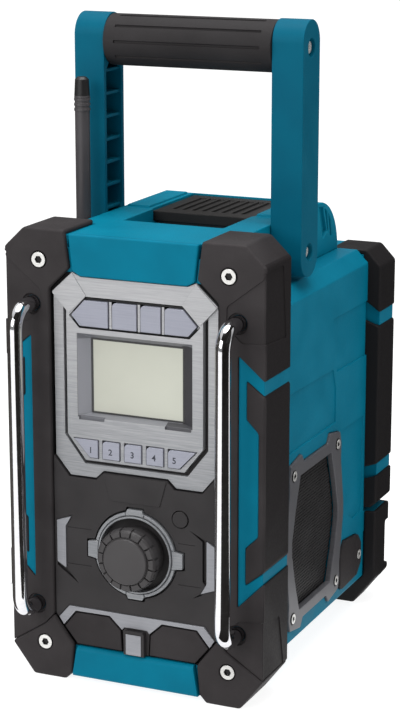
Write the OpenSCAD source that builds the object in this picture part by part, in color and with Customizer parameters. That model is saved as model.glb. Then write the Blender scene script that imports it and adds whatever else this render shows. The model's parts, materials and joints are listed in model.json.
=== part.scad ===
// Jobsite radio: a boxy site radio with rubber bumpers, chrome guard bars and a folding handle.
// Millimetres. +Z is up, the controls face -Y, and the origin is under the middle of the
// whole object, on the surface it stands on. Depths are counted back from the front face,
// and heights marked "down" are counted down from the top of the body.

/* [Overall] */
// Width over the side bumpers
body_w = 163; // [158:1:200]
// Depth from the front bumper face to the rear face
body_d = 220; // [205:1:270]
// Height of the body over the top bumpers
body_h = 272.5; // [262:0.5:330]
// Step from the bumpers in to the side walls of the middle
side_step = 8; // [5:0.5:10]
// Depth of the front frame
front_frame_d = 38.2; // [34:0.2:50]
// Depth of the rear frame
rear_frame_d = 29.8; // [26:0.2:36]

/* [Walls] */
// Thickness of the rubber bumpers
rubber = 3; // [2:0.25:4]
// Wall of the moulded housings
wall = 3.5; // [3:0.25:4.5]
// Gap left round anything that moves
gap = 0.4; // [0.3:0.05:0.6]
// Radial clearance of a pin that turns in a hole
running = 0.05; // [0.02:0.01:0.1]

/* [Guard bars] */
// Diameter of the chrome bars
bar_d = 9; // [7:0.5:10]
// How far the bars stand out of the front face
bar_proud = 24.5; // [20:0.5:30]
// Radius of the bars' bends, on the centre line
bar_bend_r = 12; // [8:0.5:14]
// Distance of the bars from the outer side
bar_inset = 17; // [15:0.5:18]

/* [Handle] */
// Depth of the handle pivots behind the front face
pivot_depth = 88; // [84:1:94]
// Height of the pivots, down from the top of the body
pivot_down = 19.2; // [18:0.2:21]
// Distance from the pivots to the grip
handle_reach = 118.7; // [112:0.1:150]
// Width of the arms, front to back
arm_w = 26.6; // [22:0.2:28]
// Thickness of the arms, side to side
arm_t = 19.4; // [16:0.2:22]
// Diameter of the hand grip
grip_d = 30.5; // [25:0.5:33]
// Diameter of the pivot pins
pivot_pin_d = 10; // [8:0.5:12]

/* [Top] */
// Half the width of the block between the arms
block_half = 53; // [51:0.5:56]
// Width of the door latch plate
latch_w = 66; // [56:1:70]
// Length of the finger recess in front of the latch
recess_l = 43; // [36:1:46]
// How deep the finger recess is
recess_h = 19; // [14:1:20]

/* [Controls] */
// Width of the tuning knob
knob_d = 38; // [32:0.5:39]
// How far the knob stands out of the front face
knob_proud = 12; // [9:0.5:16]
// Height of the knob's centre
knob_z = 84; // [80:0.5:90]
// Travel of the keys
key_travel = 1; // [0.6:0.1:1.2]
// Travel of the knob when it is pressed
knob_travel = 0.6; // [0.4:0.1:0.8]
// Half the width of the display glass
lens_half = 29.3; // [26:0.1:31]
// Bore of the sound input jack
aux_bore_d = 3.6; // [3.5:0.05:3.7]

/* [Speakers] */
// Depth of the speakers' centre behind the front face
speaker_depth = 98.9; // [92:0.1:104]
// Height of the speakers' centre
speaker_z = 79.4; // [77:0.1:84]
// Outer diameter of the speaker units
speaker_d = 78; // [66:1:80]
// Spacing of the holes in the grille
mesh_pitch = 5; // [4.5:0.5:8]

/* [Battery] */
// Width of the battery pack
pack_w = 75; // [66:1:78]
// Height of the battery pack as it stands
pack_h = 110; // [95:1:116]
// Thickness of the battery pack
pack_t = 62; // [50:1:66]
// How far the pack slides up before it is free of its rails
pack_travel = 26; // [10:1:26]
// Bore of the charger jack
dc_bore_d = 6.4; // [5.6:0.1:7]

/* [Hidden] */
$fn = 48;
half_w = body_w / 2;
mid_half = half_w - side_step;
y_front = -(body_d - bar_proud) / 2;
rear_d = body_d - rear_frame_d;
eps = 0.01;
big = 500;
seam = 0.3;

// Front frame outline and what covers it
top_flat = half_w - 12.5;
top_corner = 12;
foot_flat = half_w - 14.5;
foot_corner = 18.8;
column_in = half_w - 28.5;
column_out = half_w - 16.5;
show_inset = 1;
bar_x = half_w - bar_inset;
bar_top = body_h - 44.5;
bar_low = 45;
screw_x = half_w - 22.3;
screw_low = 21.5;
screw_top = body_h - 18.3;
screw_head_d = 8.8;
shank_r = 2;

// Layers of the front, counted back from the front face
panel_face = 2;
panel_back = 6;
base_back = 9;
flange_back = base_back + 1.3;
mat_front = flange_back + key_travel + 0.9;
front_wall = mat_front;
lens_front = 7;
lens_back = 8.7;
module_back = 14;
board_front = 20;

// Front panel outlines
panel_half = column_in - 0.6;
fascia_half = column_in - 1.4;
badge_down = 2;
trim_top = 46.2;
strip_top = 22;
strip_low = 3.3;
port_x = 24;
port_z = 33;
info_x = 28.6;
info_z = 109.2;
info_r = 4.9;
bezel_r = 25.8;
ring_r = 23.4;
dish_r = 22.3;
tab_reach = 30.3;
tab_top = 27.4;

// Middle body
shoulder = body_h - 36.5;
mid_low = 16;
cover_low = shoulder;
cover_top = body_h - 2.5;
cover_back = rear_d - 1.2;
round_r = 33;
rail_h = 1.5;
latch_back = rear_d - 30.2;
latch_front = latch_back - 62;
latch_t = 6;
latch_pin_r = 2.5;
latch_sunk = 1.5;
latch_pin_depth = latch_back - 4;
latch_pin_z = cover_top - latch_sunk - latch_t / 2;
latch_swing = 1.4;
nose_z = shoulder - 8;
latch_half = latch_w / 2;

// Battery bay and rear door
bay_half = 41;
bay_low = 74;
bay_top = shoulder - wall - 2;
bay_front = rear_d - 58.2;
pack_front = bay_front + 6;
pack_low = bay_low + 3;
rail_x = 32.5;
rail_w = 3.2;
rail_d = 4;
door_gap = 0.25;
door_low = 66.3;
door_top = shoulder;
hinge_z = 61;
hinge_in = 6.5;
hinge_r = 5.2;
hinge_pin_r = 2.5;

// Handle
pivot_z = body_h - pivot_down;
grip_z = pivot_z + handle_reach;
arm_in = block_half + seam;
arm_out = arm_in + arm_t;
arm_top_z = grip_z + 2.7;

// Antenna
antenna_x = -(half_w - 20);
antenna_depth = 62;
antenna_z = shoulder + 12;
antenna_r = 5;
antenna_top = body_h + 79.5;

// Charger jack cover, on the right side
dc_depth = rear_d - 35;
dc_z = 41;
dc_fold = rear_d - 18;
dc_proud = 1.8;

// Cover where it runs forward, and the grilles
cover_front_half = column_in - 11.4;
grille_sunk = 2.1;
grille_t = 3.6;
hole_dx = 36.7;
hole_dz = 44.5;
grille_holes = [
    for (sx = [-1, 1], sz = [-1, 1]) [speaker_depth + sx * hole_dx, speaker_z + sz * hole_dz]
];
fold = 0.6;
relief = 1;
slot_half = 1.25;
board_posts = [for (sx = [-1, 1], p = [[50.5, 112], [30, body_h - 26.5]]) [sx * p[0], p[1]]];
facet = [down(38.7, 24.6), down(51.5, 37.3), down(41.2, 48.3), down(29.9, 37.5)];
window = [59.5, 62.6, 107.4, 109.2];

teal = [0.0, 0.44, 0.55];
black = [0.2, 0.19, 0.2];
silver = [0.6, 0.61, 0.63];
chrome = [0.85, 0.86, 0.88];
green = [0.1, 0.35, 0.2];

// ---------------------------------------------------------------- helpers

// Position along Y of a depth behind the front face
function yd(depth) = y_front + depth;

// A point of a front outline, given by its distance down from the top
function down(x, d) = [x, body_h - d];

// Closes a right-hand outline, listed from top to bottom, with its mirror image
function both_sides(points) =
    concat(points, [for (i = [len(points) - 1:-1:0]) [-points[i][0], points[i][1]]]);

// Extrudes an outline drawn in X and Z, between two depths
module plate(d0, d1) {
    translate([0, yd(d1), 0]) rotate([90, 0, 0]) linear_extrude(d1 - d0) children();
}

// Extrudes an outline drawn in depth and Z, between two places along X
module across(x0, x1) {
    translate([x0, y_front, 0]) rotate([90, 0, 90]) linear_extrude(x1 - x0) children();
}

// A box between two X, two depths and two heights
module block(x0, x1, d0, d1, z0, z1) {
    translate([x0, yd(d0), z0]) cube([x1 - x0, d1 - d0, z1 - z0]);
}

// A rod along Y, between two depths
module rod_y(x, z, r, d0, d1) {
    translate([x, yd(d0), z]) rotate([-90, 0, 0]) cylinder(r = r, h = d1 - d0);
}

// A rod along X
module rod_x(depth, z, r, x0, x1) {
    translate([x0, yd(depth), z]) rotate([0, 90, 0]) cylinder(r = r, h = x1 - x0);
}

// Its children and their mirror image on the other side
module mirrored() {
    children();
    mirror([1, 0, 0]) children();
}

// Its children on the right, or mirrored to the left
module on_side(side) {
    mirror([side < 0 ? 1 : 0, 0, 0]) children();
}

// A flat stadium standing up, in depth and Z
module stadium(depth, z0, z1, r) {
    translate([depth - r, z0]) square([2 * r, z1 - z0]);
    translate([depth, z0]) circle(r);
    translate([depth, z1]) circle(r);
}

// ---------------------------------------------------------------- outlines of the front

module frame_2d() {
    polygon(both_sides([
        [top_flat, body_h], [half_w, body_h - top_corner], [half_w, foot_corner], [foot_flat, 0]
    ]));
}

module core_2d() {
    offset(delta = -rubber) frame_2d();
}

module front_bumper_2d() {
    polygon([
        down(column_in - 10, 0), down(top_flat, 0), down(half_w, top_corner), down(half_w, 76.5),
        down(column_out, 62.5), [column_out, 61.5], [half_w, 78.5], [half_w, foot_corner],
        [column_in + 6, 33.5], [column_in, 40], down(column_in, 34.5), down(column_in - 13, 22)
    ]);
}

module middle_bumper_2d() {
    polygon([
        down(half_w - 11.5, 76.7), down(half_w, 85.3), [half_w, 85.2], [half_w - 11.8, 75.8],
        [half_w - 11.8, 98], [half_w - 4.2, 105.3], down(half_w - 4.2, 106.3),
        down(half_w - 11.5, 98.9)
    ]);
}

module foot_cap_2d() {
    offset(delta = -seam / 2) polygon([
        [column_in, 40], [column_in + 6, 33.5], [half_w, foot_corner], [foot_flat, -seam / 2],
        [column_in - 7.3, -seam / 2], [column_in - 11.8, 4.8], [column_in - 13.4, 22.6]
    ]);
}

module badge_2d() {
    polygon(both_sides([
        down(column_in - 12.3, badge_down), down(column_in - 14.6, 23.6), down(33.4, 26.3)
    ]));
}

module panel_2d() {
    polygon(both_sides([
        down(33.4, 26.7), down(column_in - 14.5, 24.2), down(panel_half, 36.6),
        [panel_half, 40.4], [column_in - 13.6, 23.6], [column_in - 13.8, strip_top + 0.4]
    ]));
}

module fascia_2d() {
    polygon(both_sides([
        down(33.4, 26.7), down(column_in - 14.3, 24.3), down(fascia_half, 36.3),
        down(fascia_half, 134), down(42, 145.5), down(25.5, 145.5), down(20.5, 140.7)
    ]));
}

// Middle of the slot round the raised inner part
module inner_fascia_2d() {
    polygon(both_sides([down(44.15, 40), down(44.15, 120.5), down(32, 136.1)]));
}

// Columns and foot of the fascia, which lie lower than its inner part
module low_fascia_2d() {
    difference() {
        polygon(both_sides([down(41.2, 48.3), down(60, 28.4), down(60, 170)]));
        offset(delta = slot_half) inner_fascia_2d();
    }
}

module strip_2d() {
    polygon(both_sides([[column_in - 15.4, strip_top], [column_in - 12.2, strip_low]]));
}

// The row of four keys under the badge: outer outline, then each key
key_row = [down(30.4, 37.9), down(41.2, 49.5), down(34.6, 56.5)];
function_keys = [
    [down(-39.3, 49), down(-31, 39.9), down(-16, 39.9), down(-16, 55.1), down(-34, 55.1)],
    [down(-13.3, 39.9), down(2, 39.9), down(2, 55.1), down(-13.3, 55.1)],
    [down(4.5, 39.9), down(17, 39.9), down(17, 55.1), down(4.5, 55.1)],
    [down(19.5, 39.9), down(31, 39.9), down(39.3, 49), down(34, 55.1), down(19.5, 55.1)]
];

// The five preset keys under the display
preset_keys = [
    [down(-38.5, 122.3), down(-23.3, 122.3), down(-23.3, 132.9), down(-28.5, 132.9)],
    [down(-20.3, 122.3), down(-9.5, 122.3), down(-9.5, 132.9), down(-20.3, 132.9)],
    [down(-6.3, 122.3), down(4.4, 122.3), down(4.4, 132.9), down(-6.3, 132.9)],
    [down(7.7, 122.3), down(18.3, 122.3), down(18.3, 132.9), down(7.7, 132.9)],
    [down(21.3, 122.3), down(38.5, 122.3), down(28.5, 132.9), down(21.3, 132.9)]
];

accent = [[51, 98.5], [41.5, 102], [45.2, 95.6], [45.2, 69.6], [51, 73]];
flap = [[46.6, 33.2], [38.8, 42.6], [17.2, 42.8], [9.6, 35.6], [8.9, 23], [38.2, 23]];

module all_keys_2d() {
    for (key = concat(function_keys, preset_keys)) polygon(key);
}

// Outline of a key whose top left corner, its first point, is rounded
module round_key_2d(points) {
    r = 2.3;
    difference() {
        polygon(points);
        translate(points[0] + [0, -r]) difference() {
            translate([-1, 0]) square(r + 1);
            translate([r, 0]) circle(r);
            translate([r - 0.01, -1]) square([2, r + 2]);
        }
    }
}

module bezel_2d() {
    circle(bezel_r);
    polygon(both_sides([[4.6, tab_top], [6, bezel_r - 2], [6, 2 - bezel_r], [4.6, -tab_top]]));
    polygon(both_sides([[bezel_r - 2, 5.6], [tab_reach, 4.6], [tab_reach, -4.6], [bezel_r - 2, -5.6]]));
}

// The accent on the left points up; the one on the right is the same, turned round the knob
module accents_2d() {
    mirror([1, 0]) polygon(accent);
    translate([0, 2 * knob_z]) mirror([0, 1]) polygon(accent);
}

module trim_2d() {
    polygon(both_sides([
        [43.6, trim_top], [50.3, 38.4], [47.3, 33.8], [39.3, 43.5], [16.9, 43.7], [8.8, 36.2],
        [7.4, 38]
    ]));
}

// ---------------------------------------------------------------- housings

module front_housing() {
    color(teal) difference() {
        union() {
            plate(rubber, front_frame_d) core_2d();
            // Teal bands that show between the bumpers
            plate(show_inset, front_frame_d) difference() {
                intersection() {
                    offset(delta = -show_inset) frame_2d();
                    mirrored_band_2d();
                }
                mirrored_2d() {
                    front_bumper_2d();
                    middle_bumper_2d();
                }
            }
        }
        plate(-1, base_back) offset(delta = 0.05) panel_2d();
        plate(-1, panel_back) offset(delta = 0.05) badge_2d();
        plate(-1, panel_back) offset(delta = 0.05) strip_2d();
        plate(base_back - 1, front_wall + 1) offset(delta = -4) panel_2d();
        block(-cover_front_half, cover_front_half, -1, front_frame_d + 1, cover_top - 8, body_h);
        plate(front_wall, front_frame_d + 1) difference() {
            intersection() {
                offset(delta = -wall) core_2d();
                translate([-big / 2, 0]) square([big, cover_top - 8 - wall]);
            }
            for (p = board_posts) translate(p) circle(2);
        }
        plate(board_front, front_frame_d + 1) for (p = board_posts) translate(p) circle(2.5);
        mirrored() for (z = [bar_low, bar_top]) rod_y(bar_x, z, bar_d / 2 + 0.02, -1, front_wall);
        mirrored() for (z = [screw_low, screw_top]) rod_y(screw_x, z, shank_r + 0.02, -1, front_wall);
    }
}

module mirrored_2d() {
    children();
    mirror([1, 0]) children();
}

// Where the teal bands may show: outside the columns and between the bumpers' ends
module mirrored_band_2d() {
    mirrored_2d() translate([column_out, 50]) square([half_w, body_h - 110]);
}

module mid_2d() {
    polygon(both_sides([
        [mid_half - 7.5, shoulder], [mid_half, shoulder - 8], [mid_half, mid_low + 4.2],
        [mid_half - 4.5, mid_low]
    ]));
}

module main_housing() {
    color(teal) difference() {
        union() {
            difference() {
                plate(front_frame_d, rear_d) mid_2d();
                plate(front_frame_d - 1, rear_d - wall) offset(delta = -wall) mid_2d();
            }
            // Box of the battery bay
            block(-bay_half - 2.5, bay_half + 2.5, bay_front - 2.5, rear_d - 1, bay_low - 2.5, bay_top + 2.5);
            // Posts of the power board
            mirrored() for (z = [bay_low + 10, bay_top - 30]) {
                rod_y(32, z, 2.5, bay_front - 14.4, bay_front - 2);
            }
            // Boss for the charger jack
            block(mid_half - 16, mid_half - 1, dc_depth - 9, dc_depth + 9, dc_z - 9, dc_z + 9);
            // Socket for the antenna
            translate([antenna_x, yd(antenna_depth), shoulder - 9]) {
                cylinder(r = antenna_r + 3, h = antenna_z - shoulder + 9);
            }
        }
        block(-bay_half, bay_half, bay_front, rear_d + 1, bay_low, bay_top);
        // Slot that the latch hook hangs through
        block(-16, 16, latch_pin_depth - 15, latch_pin_depth + 8, bay_top - 1, shoulder + 1);
        mirrored() {
            across(mid_half - wall - 1, mid_half + 1) offset(delta = 2) grille_opening_2d();
            across(mid_half - grille_sunk, mid_half + 1) offset(delta = 0.1) grille_outline_2d();
            for (p = grille_holes) rod_x(p[0], p[1], shank_r + 0.02, mid_half - wall - 1, mid_half);
        }
        // Shallow reliefs of the side walls
        mirrored() across(mid_half - relief, mid_half + 1) side_relief_2d();
        // Charger jack hole and the shallow seat of its cover
        rod_x(dc_depth, dc_z, 5.5, mid_half - 14, mid_half + 1);
        across(mid_half - 1.5, mid_half + 1) offset(delta = 0.3) dc_cover_2d();
        rod_x(dc_fold + 5, dc_z - 2, shank_r + 0.02, mid_half - wall - 1, mid_half);
        translate([antenna_x, yd(antenna_depth), antenna_z]) {
            translate([0, 0, -antenna_r - 1]) cylinder(r = antenna_r + 0.3, h = antenna_r + 2);
            translate([0, 0, -1.6]) cylinder(r1 = antenna_r + 0.3, r2 = antenna_r + 1.7, h = 1.7);
        }
    }
}

module side_relief_2d() {
    polygon([
        [front_frame_d - 1, shoulder - 61.5], [130, shoulder - 63.5], [135, shoulder - 76],
        [135, shoulder - 98], [front_frame_d - 1, shoulder - 98]
    ]);
    polygon([
        [128.7, shoulder - 31.6], [rear_d + 1, shoulder - 32.4], [rear_d + 1, shoulder - 67.6],
        [136, shoulder - 66]
    ]);
    polygon([
        [rear_d - 42, speaker_z + 50], [rear_d - 41.3, speaker_z + 10], [rear_d - 32.7, speaker_z + 2.6],
        [rear_d - 30.5, speaker_z - 8.8], [rear_d - 20.2, speaker_z - 14.4],
        [rear_d - 6.6, speaker_z - 13.6], [rear_d - 4, speaker_z - 3.5], [rear_d - 4, speaker_z + 50]
    ]);
}

module top_cover() {
    color(teal) difference() {
        union() {
            intersection() {
                block(-block_half, block_half, front_frame_d, cover_back, cover_low, cover_top);
                across(-big / 2, big / 2) cover_side_2d();
            }
            block(-cover_front_half + 0.1, cover_front_half - 0.1, panel_back + 0.1, front_frame_d, cover_top - 7.9, cover_top);
            // Raised rails beside the latch
            mirrored() block(latch_half + 2, block_half - 3, latch_front, latch_back - 6, cover_top - 1, cover_top + rail_h);
        }
        // Hollow under the cover
        difference() {
            intersection() {
                block(-block_half + wall + 7, block_half - wall - 7, front_frame_d + wall, cover_back - wall, cover_low - 1, cover_top - wall);
                across(-big / 2, big / 2) offset(delta = -wall) cover_side_2d();
            }
            // Walls and floor of the finger recess
            block(-latch_half - wall, latch_half + wall, latch_front - recess_l - wall, latch_front + 16, cover_top - recess_h - wall, cover_top);
            // Bosses for the latch pin
            mirrored() block(latch_half + gap, block_half, latch_pin_depth - 6, latch_pin_depth + 6, latch_pin_z - 6, cover_top);
        }
        // Finger recess, which runs on under the front edge of the latch
        block(-latch_half + 1, latch_half - 1, latch_front - recess_l, latch_front + 13, cover_top - recess_h, cover_top + 1);
        // Opening for the latch
        block(-latch_half - gap, latch_half + gap, latch_front - 1, latch_back + latch_swing, cover_top - latch_t - latch_sunk - gap, cover_top + 5);
        block(-latch_half - gap, latch_half + gap, latch_front + 20, latch_back + latch_swing, cover_low - 1, cover_top + 5);
        rod_x(latch_pin_depth, latch_pin_z, latch_pin_r + running, -latch_half - 4, latch_half + 4);
        // Pivot pin holes
        rod_x(pivot_depth, pivot_z, pivot_pin_d / 2 + 0.02, -block_half - 1, -block_half + 10);
        rod_x(pivot_depth, pivot_z, pivot_pin_d / 2 + 0.02, block_half - 10, block_half + 1);
        // Dark slots in the sides, behind the arms
        mirrored() across(block_half - 2.5, block_half + 1) translate([cover_back, cover_top]) {
            polygon([[-34, -2.5], [-26.5, -3.8], [-20, -19.5], [-26, -23.5]]);
            polygon([[-23.5, -5], [-19.5, -7], [-16.5, -20], [-17.5, -21]]);
            polygon([[-17, -9], [-13.5, -13], [-10.5, -24], [-13, -24]]);
        }
    }
}

// Side view of the top cover: flat on top, rounded down at the back
module cover_side_2d() {
    difference() {
        translate([0, cover_low - 1]) square([cover_back, cover_top - cover_low + 1]);
        translate([cover_back - round_r, cover_top - round_r]) difference() {
            square(round_r + 1);
            circle(round_r, $fn = 96);
        }
    }
}

module rear_base() {
    color(teal) difference() {
        rear_core();
        plate(rear_d - 1, body_d - rubber - wall) polygon(both_sides([
            [half_w - rubber - wall, door_low - 2.3 - 14], [half_w - rubber - wall, foot_corner + 2],
            [foot_flat - 3, rubber + wall]
        ]));
        // Notches for the door's hinge arms
        mirrored() block(25.4, 36.6, body_d - 14.5, body_d + 1, hinge_z - 8, door_low + 1);
        rod_x(body_d - hinge_in, hinge_z, hinge_pin_r + 0.02, -44, 44);
        plate(rear_d - 1, body_d + 1) mirrored_2d() translate([half_w - 12, door_low - 2.6]) square([20, 5]);
    }
}

// ---------------------------------------------------------------- rubber

module front_bumper(side) {
    color(black) on_side(side) difference() {
        plate(0, front_frame_d) front_bumper_2d();
        plate(rubber, front_frame_d + 1) core_2d();
        plate(-1, panel_back + 1) offset(delta = 0.08) panel_2d();
        for (z = [bar_low, bar_top]) {
            rod_y(bar_x, z, bar_d / 2 + 1.7, -1, rubber - 0.8);
            rod_y(bar_x, z, bar_d / 2 + 0.2, -1, rubber + 1);
        }
        rod_y(screw_x, screw_top, screw_head_d / 2 + 0.6, -1, 1.6);
        rod_y(screw_x, screw_top, shank_r + 0.5, -1, rubber + 1);
        // Folds of the corner blocks, on the front face and on the side
        plate(-1, fold) polygon([
            [bar_x - 6.5, bar_top + 9], [half_w + 1, bar_top + 28], [half_w + 1, bar_top - 10.5],
            [bar_x + 2.5, bar_top - 11], [bar_x - 6.5, bar_top - 2]
        ]);
        plate(-1, fold) polygon([
            [bar_x + 1.5, bar_low + 8.5], [half_w + 1, bar_low + 10.3], [half_w + 1, bar_low - 30],
            [bar_x - 6, bar_low - 14], [bar_x - 6, bar_low]
        ]);
        across(half_w - fold, half_w + 1) {
            polygon([
                [-1, bar_top + 29.5], [front_frame_d - 12.2, bar_top + 30],
                [front_frame_d - 7.7, bar_top - 12.6], [-1, bar_top - 10.4]
            ]);
            polygon([
                [-1, bar_low + 10.3], [front_frame_d - 14, bar_low + 6],
                [front_frame_d - 6, bar_low - 30], [-1, bar_low - 30]
            ]);
        }
    }
}

module middle_bumpers() {
    color(black) mirrored() difference() {
        plate(0, front_frame_d) middle_bumper_2d();
        plate(rubber, front_frame_d + 1) core_2d();
    }
}

module foot_caps() {
    color(black) mirrored() difference() {
        plate(-0.6, front_frame_d) foot_cap_2d();
        plate(rubber, front_frame_d + 1) core_2d();
        plate(-2, panel_back + 1) offset(delta = 0.08) panel_2d();
        plate(-2, panel_back + 1) offset(delta = 0.1) strip_2d();
        rod_y(screw_x, screw_low, screw_head_d / 2 + 0.6, -2, 1.6);
        rod_y(screw_x, screw_low, shank_r + 0.5, -2, rubber + 1);
    }
}

module rear_feet() {
    color(black) mirrored() difference() {
        union() {
            plate(rear_d, body_d - 9) rear_foot_2d();
            for (z = [[52, door_low - 2.3], [12, 22]]) {
                plate(rear_d, body_d - 2.6) intersection() {
                    rear_foot_2d();
                    translate([0, z[0]]) square([big, z[1] - z[0]]);
                }
            }
            plate(body_d - rubber - 6, body_d - rubber + 1) intersection() {
                rear_foot_2d();
                translate([0, 22]) square([half_w - 6, 30]);
            }
        }
        rear_core();
    }
}

// What the rear feet are moulded round: it is narrower where it meets the housing
module rear_core() {
    module outline() {
        polygon(both_sides([
            [half_w - rubber, door_low - 2.3], [half_w - rubber, foot_corner], [foot_flat - 1.5, rubber]
        ]));
    }
    plate(rear_d, rear_d + rubber) intersection() {
        outline();
        mid_2d();
    }
    plate(rear_d + rubber, body_d - rubber) outline();
}

module rear_foot_2d() {
    polygon([
        [half_w - 20, door_low - 2.3], [half_w, door_low - 2.3], [half_w, foot_corner],
        [foot_flat, 0], [foot_flat - 18, 0], [foot_flat - 12, 12], [half_w - 20, 30]
    ]);
}

// ---------------------------------------------------------------- front pieces

module badge_panel() {
    color(teal) plate(0.6, panel_back) badge_2d();
}

module control_panel() {
    color(black) difference() {
        union() {
            plate(panel_back, base_back) panel_2d();
            plate(panel_face, panel_back) difference() {
                panel_2d();
                offset(delta = 0.8) fascia_2d();
            }
            // Raised plate above the knob
            plate(panel_face - 0.6, panel_face) polygon(both_sides([down(20.2, 141.9), [15.8, 115]]));
            // Hood between the two port covers
            plate(-1.5, panel_face) polygon(both_sides([[5.6, 37.4], [6.6, 36], [6.6, strip_top + 0.4]]));
        }
        plate(0, base_back + 1) offset(delta = gap) all_keys_2d();
        plate(0, base_back + 1) translate([info_x, info_z]) circle(info_r + gap);
        plate(0, base_back + 1) translate([0, body_h - 84.5]) square([78, 53.8], center = true);
        plate(0, panel_back) translate([0, knob_z]) offset(delta = 1.1) bezel_2d();
        rod_y(0, knob_z, 4.4, 0, base_back + 1);
        plate(0, panel_back) offset(delta = 0.3) accents_2d();
        mirrored() plate(-2, panel_back) offset(delta = 0.8) polygon(flap);
        // Dark slits that run on from the accents
        plate(0, panel_face + 2) {
            polygon([[-51, 72.6], [-45, 69.2], [-37.6, 61.3], [-46, 67], [-51, 70.6]]);
            polygon([[34.7, 103.3], [44.4, 98.6], [44.7, 71], [42.6, 73.5], [42.6, 97.6]]);
            polygon([[36.7, 62.6], [41.5, 66.2], [43.2, 67.6], [41.9, 65]]);
        }
        // Fine lines of the pads beside the knob
        for (line = [[-44, -28.5, 95], [27.5, 38, 94.5], [27.5, 41.5, 69.5], [-44, -28.5, 72.5]]) {
            block(line[0], line[1], 0, panel_face + 0.4, line[2], line[2] + 0.5);
        }
        plate(0, panel_back) offset(delta = 0.3) trim_2d();
        rod_y(-port_x, port_z, 5, 0, base_back + 1);
        block(port_x - 8, port_x + 8, 0, base_back + 1, port_z - 4.5, port_z + 4.5);
    }
}

module display_fascia() {
    color(silver) difference() {
        union() {
            plate(panel_face, panel_back) fascia_2d();
            plate(panel_back, lens_back - 0.1) translate([0, body_h - 84.5]) square([77.6, 53.2], center = true);
            // Raised corners beside the badge
            mirrored() plate(panel_face - 0.4, panel_face + 0.1) polygon(facet);
        }
        plate(0, panel_face + 1.4) low_fascia_2d();
        // Slot round the inner part, open at the top corners
        plate(0, lens_back) intersection() {
            difference() {
                offset(delta = slot_half) inner_fascia_2d();
                offset(delta = -slot_half) inner_fascia_2d();
            }
            polygon(both_sides([down(41.2, 48.3), down(60, 28.4), down(60, 170)]));
        }
        // Sunk row of keys, with a dark line round it and walls between the keys
        plate(0, panel_face + 1) difference() {
            polygon(both_sides(key_row));
            for (x = [-14.65, 3.25, 18.25]) translate([x - 0.85, body_h - 55.5]) square([1.7, 15.9]);
        }
        plate(0, panel_face + 2.4) difference() {
            polygon(both_sides(key_row));
            offset(delta = -0.7) polygon(both_sides(key_row));
        }
        plate(0, panel_back + 1) offset(delta = gap) all_keys_2d();
        // Window: its four sides slope in to the glass
        intersection() {
            translate([0, 0, body_h - 120]) linear_extrude(70) polygon([
                [-36.3, yd(0)], [36.3, yd(0)], [36.3, yd(panel_face + 0.4)],
                [lens_half + 0.2, yd(lens_front - 0.4)], [lens_half + 0.2, yd(lens_back)],
                [-lens_half - 0.2, yd(lens_back)], [-lens_half - 0.2, yd(lens_front - 0.4)],
                [-36.3, yd(panel_face + 0.4)]
            ]);
            across(-40, 40) polygon([
                down(0, window[0]), down(panel_face + 0.4, window[0]), down(lens_front - 0.4, window[1]),
                down(lens_back, window[1]), down(lens_back, window[2]), down(lens_front - 0.4, window[2]),
                down(panel_face + 0.4, window[3]), down(0, window[3])
            ]);
        }
        mirrored() block(19.3, 35.5, 0, panel_face + 1.2, body_h - window[3] - 1.6, body_h - window[3] + 1);
    }
}

module display_lens() {
    color([0.78, 0.8, 0.74]) plate(lens_front, lens_back) {
        translate([-lens_half, body_h - window[2] + 0.2]) square([2 * lens_half, window[2] - window[1] - 0.4]);
    }
}

module display_module() {
    color(green) plate(lens_back, module_back) translate([0, body_h - 84.5]) {
        square([68, 51], center = true);
    }
}

module key_mat() {
    color([0.75, 0.75, 0.75]) {
        plate(mat_front, mat_front + 1.2) difference() {
            translate([0, body_h - 86]) square([99, 104], center = true);
            translate([0, body_h - 84.5]) square([70, 53], center = true);
        }
        for (key = concat(function_keys, preset_keys)) {
            centre = middle_of(key);
            rod_y(centre[0], centre[1], 2.4, mat_front - 0.6, mat_front + 0.5);
        }
    }
}

// Middle of the box round an outline
function middle_of(points) = [
    (min([for (p = points) p[0]]) + max([for (p = points) p[0]])) / 2,
    (min([for (p = points) p[1]]) + max([for (p = points) p[1]])) / 2
];

module key_cap(points, rounded = true) {
    color(silver) {
        plate(panel_face - 0.8, base_back + 0.2) if (rounded) round_key_2d(points); else polygon(points);
        plate(base_back + 0.1, flange_back) offset(delta = 1.1) polygon(points);
    }
}

module info_key() {
    color(black) {
        rod_y(info_x, info_z, info_r, panel_face - 0.6, base_back + 0.2);
        rod_y(info_x, info_z, info_r + 1.3, base_back + 0.1, flange_back);
    }
}

module main_board() {
    color(green) {
        block(-53, 53, board_front, board_front + 1.6, 58, body_h - 22);
        for (chip = [[-30, 150, 16], [6, 175, 22], [-8, 120, 12], [22, 118, 10]]) {
            block(chip[0], chip[0] + chip[2], board_front + 1.6, board_front + 4, chip[1], chip[1] + chip[2]);
        }
    }
}

module power_board() {
    color(green) {
        block(-36, 36, bay_front - 16, bay_front - 14.4, bay_low + 4, bay_top - 22);
        for (z = [bay_low + 20, bay_low + 50]) block(-24, 24, bay_front - 26, bay_front - 16, z, z + 22);
    }
}

module encoder_body() {
    color([0.3, 0.3, 0.32]) difference() {
        block(-8, 8, base_back, 18, knob_z - 8, knob_z + 8);
        rod_y(0, knob_z, 4 + running, base_back - 1, 16);
    }
}

module encoder_plunger() {
    color(silver) difference() {
        rod_y(0, knob_z, 4, base_back - 1, 13);
        rod_y(0, knob_z, 3 + running, base_back - 2, 14);
    }
}

module encoder_shaft() {
    color(silver) {
        rod_y(0, knob_z, 3, -knob_proud + 6, 13.2);
        rod_y(0, knob_z, 3.7, 13.1, 14);
    }
}

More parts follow.
